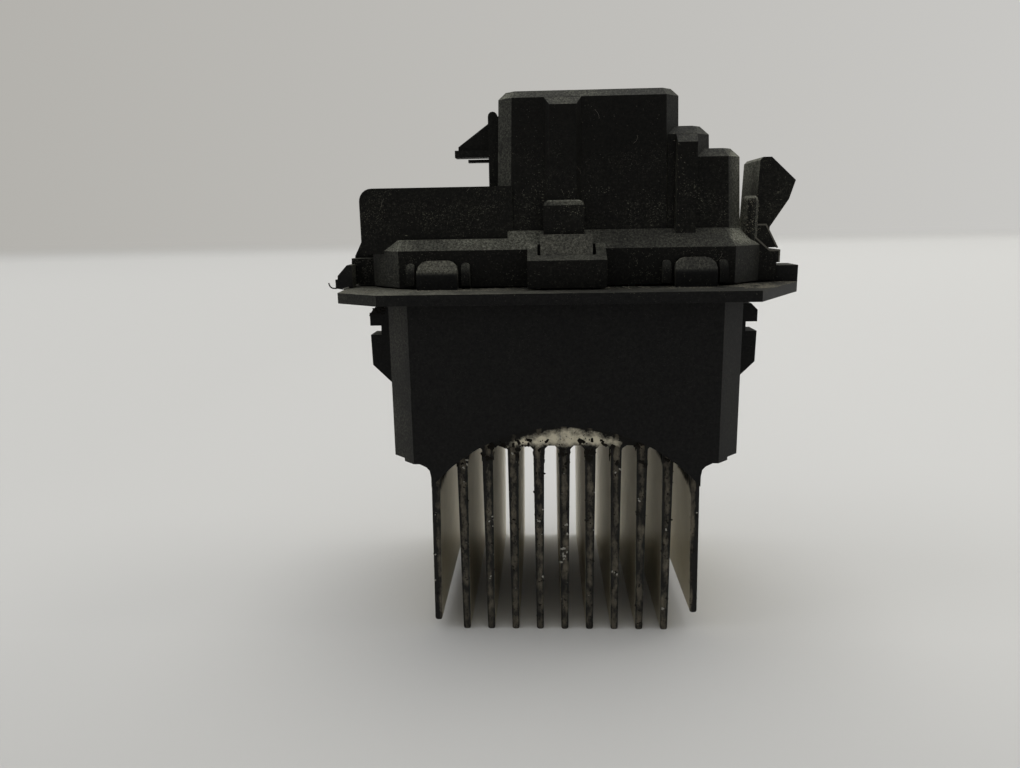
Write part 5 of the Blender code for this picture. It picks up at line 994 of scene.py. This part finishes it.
def pale_paint():
    """Matt pale paint, with painted shade: the desk darkens a little towards the camera, the wall
    to the left.
    """
    material, tree, shader, place = new_surface("matt_pale_paint")
    parts = add_node(tree, "ShaderNodeSeparateXYZ", {"Vector": place}).outputs
    # painted shade: darker at the desk's left and towards the camera
    aside = remap(tree, parts["X"], *DESK_ACROSS, DESK_LEFT_SHADE, 1.0)
    near = remap(tree, parts["Y"], *DESK_DEPTH, DESK_NEAR_SHADE, 1.0)
    shade = calc(tree, "MULTIPLY", aside, near)
    paint = blend(tree, shade, linear("#000000"), linear("#d9d8d5"))
    tree.links.new(paint, shader.inputs["Base Color"])
    shader.inputs["Roughness"].default_value = 1.0
    shader.inputs["Specular IOR Level"].default_value = 0.0
    # the wall's glow, painted darker to the left
    across = remap(tree, parts["X"], *WALL_ACROSS)
    grey = blend(tree, across, linear("#b3b1ac"), linear("#c9c8c5"))
    glow = add_node(tree, "ShaderNodeEmission", {"Color": grey, "Strength": 1.0})
    clear = add_node(tree, "ShaderNodeBsdfTransparent")
    wall = add_node(tree, "ShaderNodeMixShader", {
        0: seen_or_mirrored(tree), 1: clear.outputs["BSDF"], 2: glow.outputs["Emission"]})
    rise = add_node(tree, "ShaderNodeMapRange", {
        "Value": parts["Z"], "From Min": WALL_STARTS, "From Max": WALL_WHOLE,
        "To Min": 0.0, "To Max": 1.0}, interpolation_type="SMOOTHSTEP")
    mixed = add_node(tree, "ShaderNodeMixShader", {
        0: rise.outputs["Result"], 1: shader.outputs["BSDF"], 2: wall.outputs["Shader"]})
    tree.links.new(mixed.outputs["Shader"], tree.nodes["Material Output"].inputs["Surface"])
    return material


sheet = swept_sheet()
sheet.data.materials.append(pale_paint())
print("stage faces:", len(sheet.data.polygons))

# %% [markdown]
# ## Light
# The photograph is lit from a bright ceiling above and a little behind, by a window on each
# side, the right one stronger, and by a pale room on all sides but the front. That is why
# slopes and corner faces are grey while the front is nearly black, and why the soft shadow
# gathers under the part and towards the camera. The lamps stand far away, so that the desk
# is lit evenly.

# %% Lamps
LAMPS_AIM_AT = (0.0, 0.0, 0.04)
DAYLIGHT = "#fffefa"
SKYLIGHT = "#f8faff"


def soft_lamp(name, place, size, power, colour):
    """A square lamp that the camera can't see."""
    data = bpy.data.lights.new(name, "AREA")
    data.shape = "SQUARE"
    data.size = size
    data.energy = power
    data.color = linear(colour)[:3]
    lamp = into_scene(name, data)
    lamp.location = place
    lamp.rotation_mode = "QUATERNION"
    lamp.rotation_quaternion = (Vector(LAMPS_AIM_AT) - Vector(place)).to_track_quat("-Z", "Y")
    lamp.visible_camera = False


soft_lamp("ceiling", (0.2, 1.1, 3.6), 2.8, 52.0, DAYLIGHT)
soft_lamp("window_right", (3.0, 0.7, 2.2), 2.2, 23.0, DAYLIGHT)
soft_lamp("window_left", (-2.8, -0.2, 2.0), 2.2, 14.0, SKYLIGHT)

# %% World
CEILING_LIGHT = 0.58      # how bright the room is straight above
SIDE_LIGHT = 0.52         # at the height of the eye, to the sides and behind
FRONT_LIGHT = 0.10        # at the height of the eye, where the photographer stood

world = bpy.data.worlds.new("room")
bpy.context.scene.world = world
world.use_nodes = True
room = world.node_tree
direction = add_node(room, "ShaderNodeTexCoord").outputs["Generated"]
parts = add_node(room, "ShaderNodeSeparateXYZ", {"Vector": direction}).outputs
level = remap(room, parts["Y"], -0.85, 0.05, FRONT_LIGHT, SIDE_LIGHT)
upward = remap(room, parts["Z"], 0.15, 0.85)
brightness = add_node(room, "ShaderNodeMix", {"Factor": upward, "A": level, "B": CEILING_LIGHT})
background = room.nodes["Background"]
background.inputs["Color"].default_value = linear("#fdfeff")
room.links.new(brightness.outputs[0], background.inputs["Strength"])
backdrop = add_node(room, "ShaderNodeBackground", {"Color": linear("#c3c2bf"), "Strength": 1.0})
rays = add_node(room, "ShaderNodeLightPath").outputs
shown = add_node(room, "ShaderNodeMixShader", {
    0: rays["Is Camera Ray"], 1: background.outputs["Background"],
    2: backdrop.outputs["Background"]})
room.links.new(shown.outputs["Shader"], room.nodes["World Output"].inputs["Surface"])

bpy.context.scene.view_settings.view_transform = "Standard"
print("room light, above, sides, front:", CEILING_LIGHT, SIDE_LIGHT, FRONT_LIGHT)
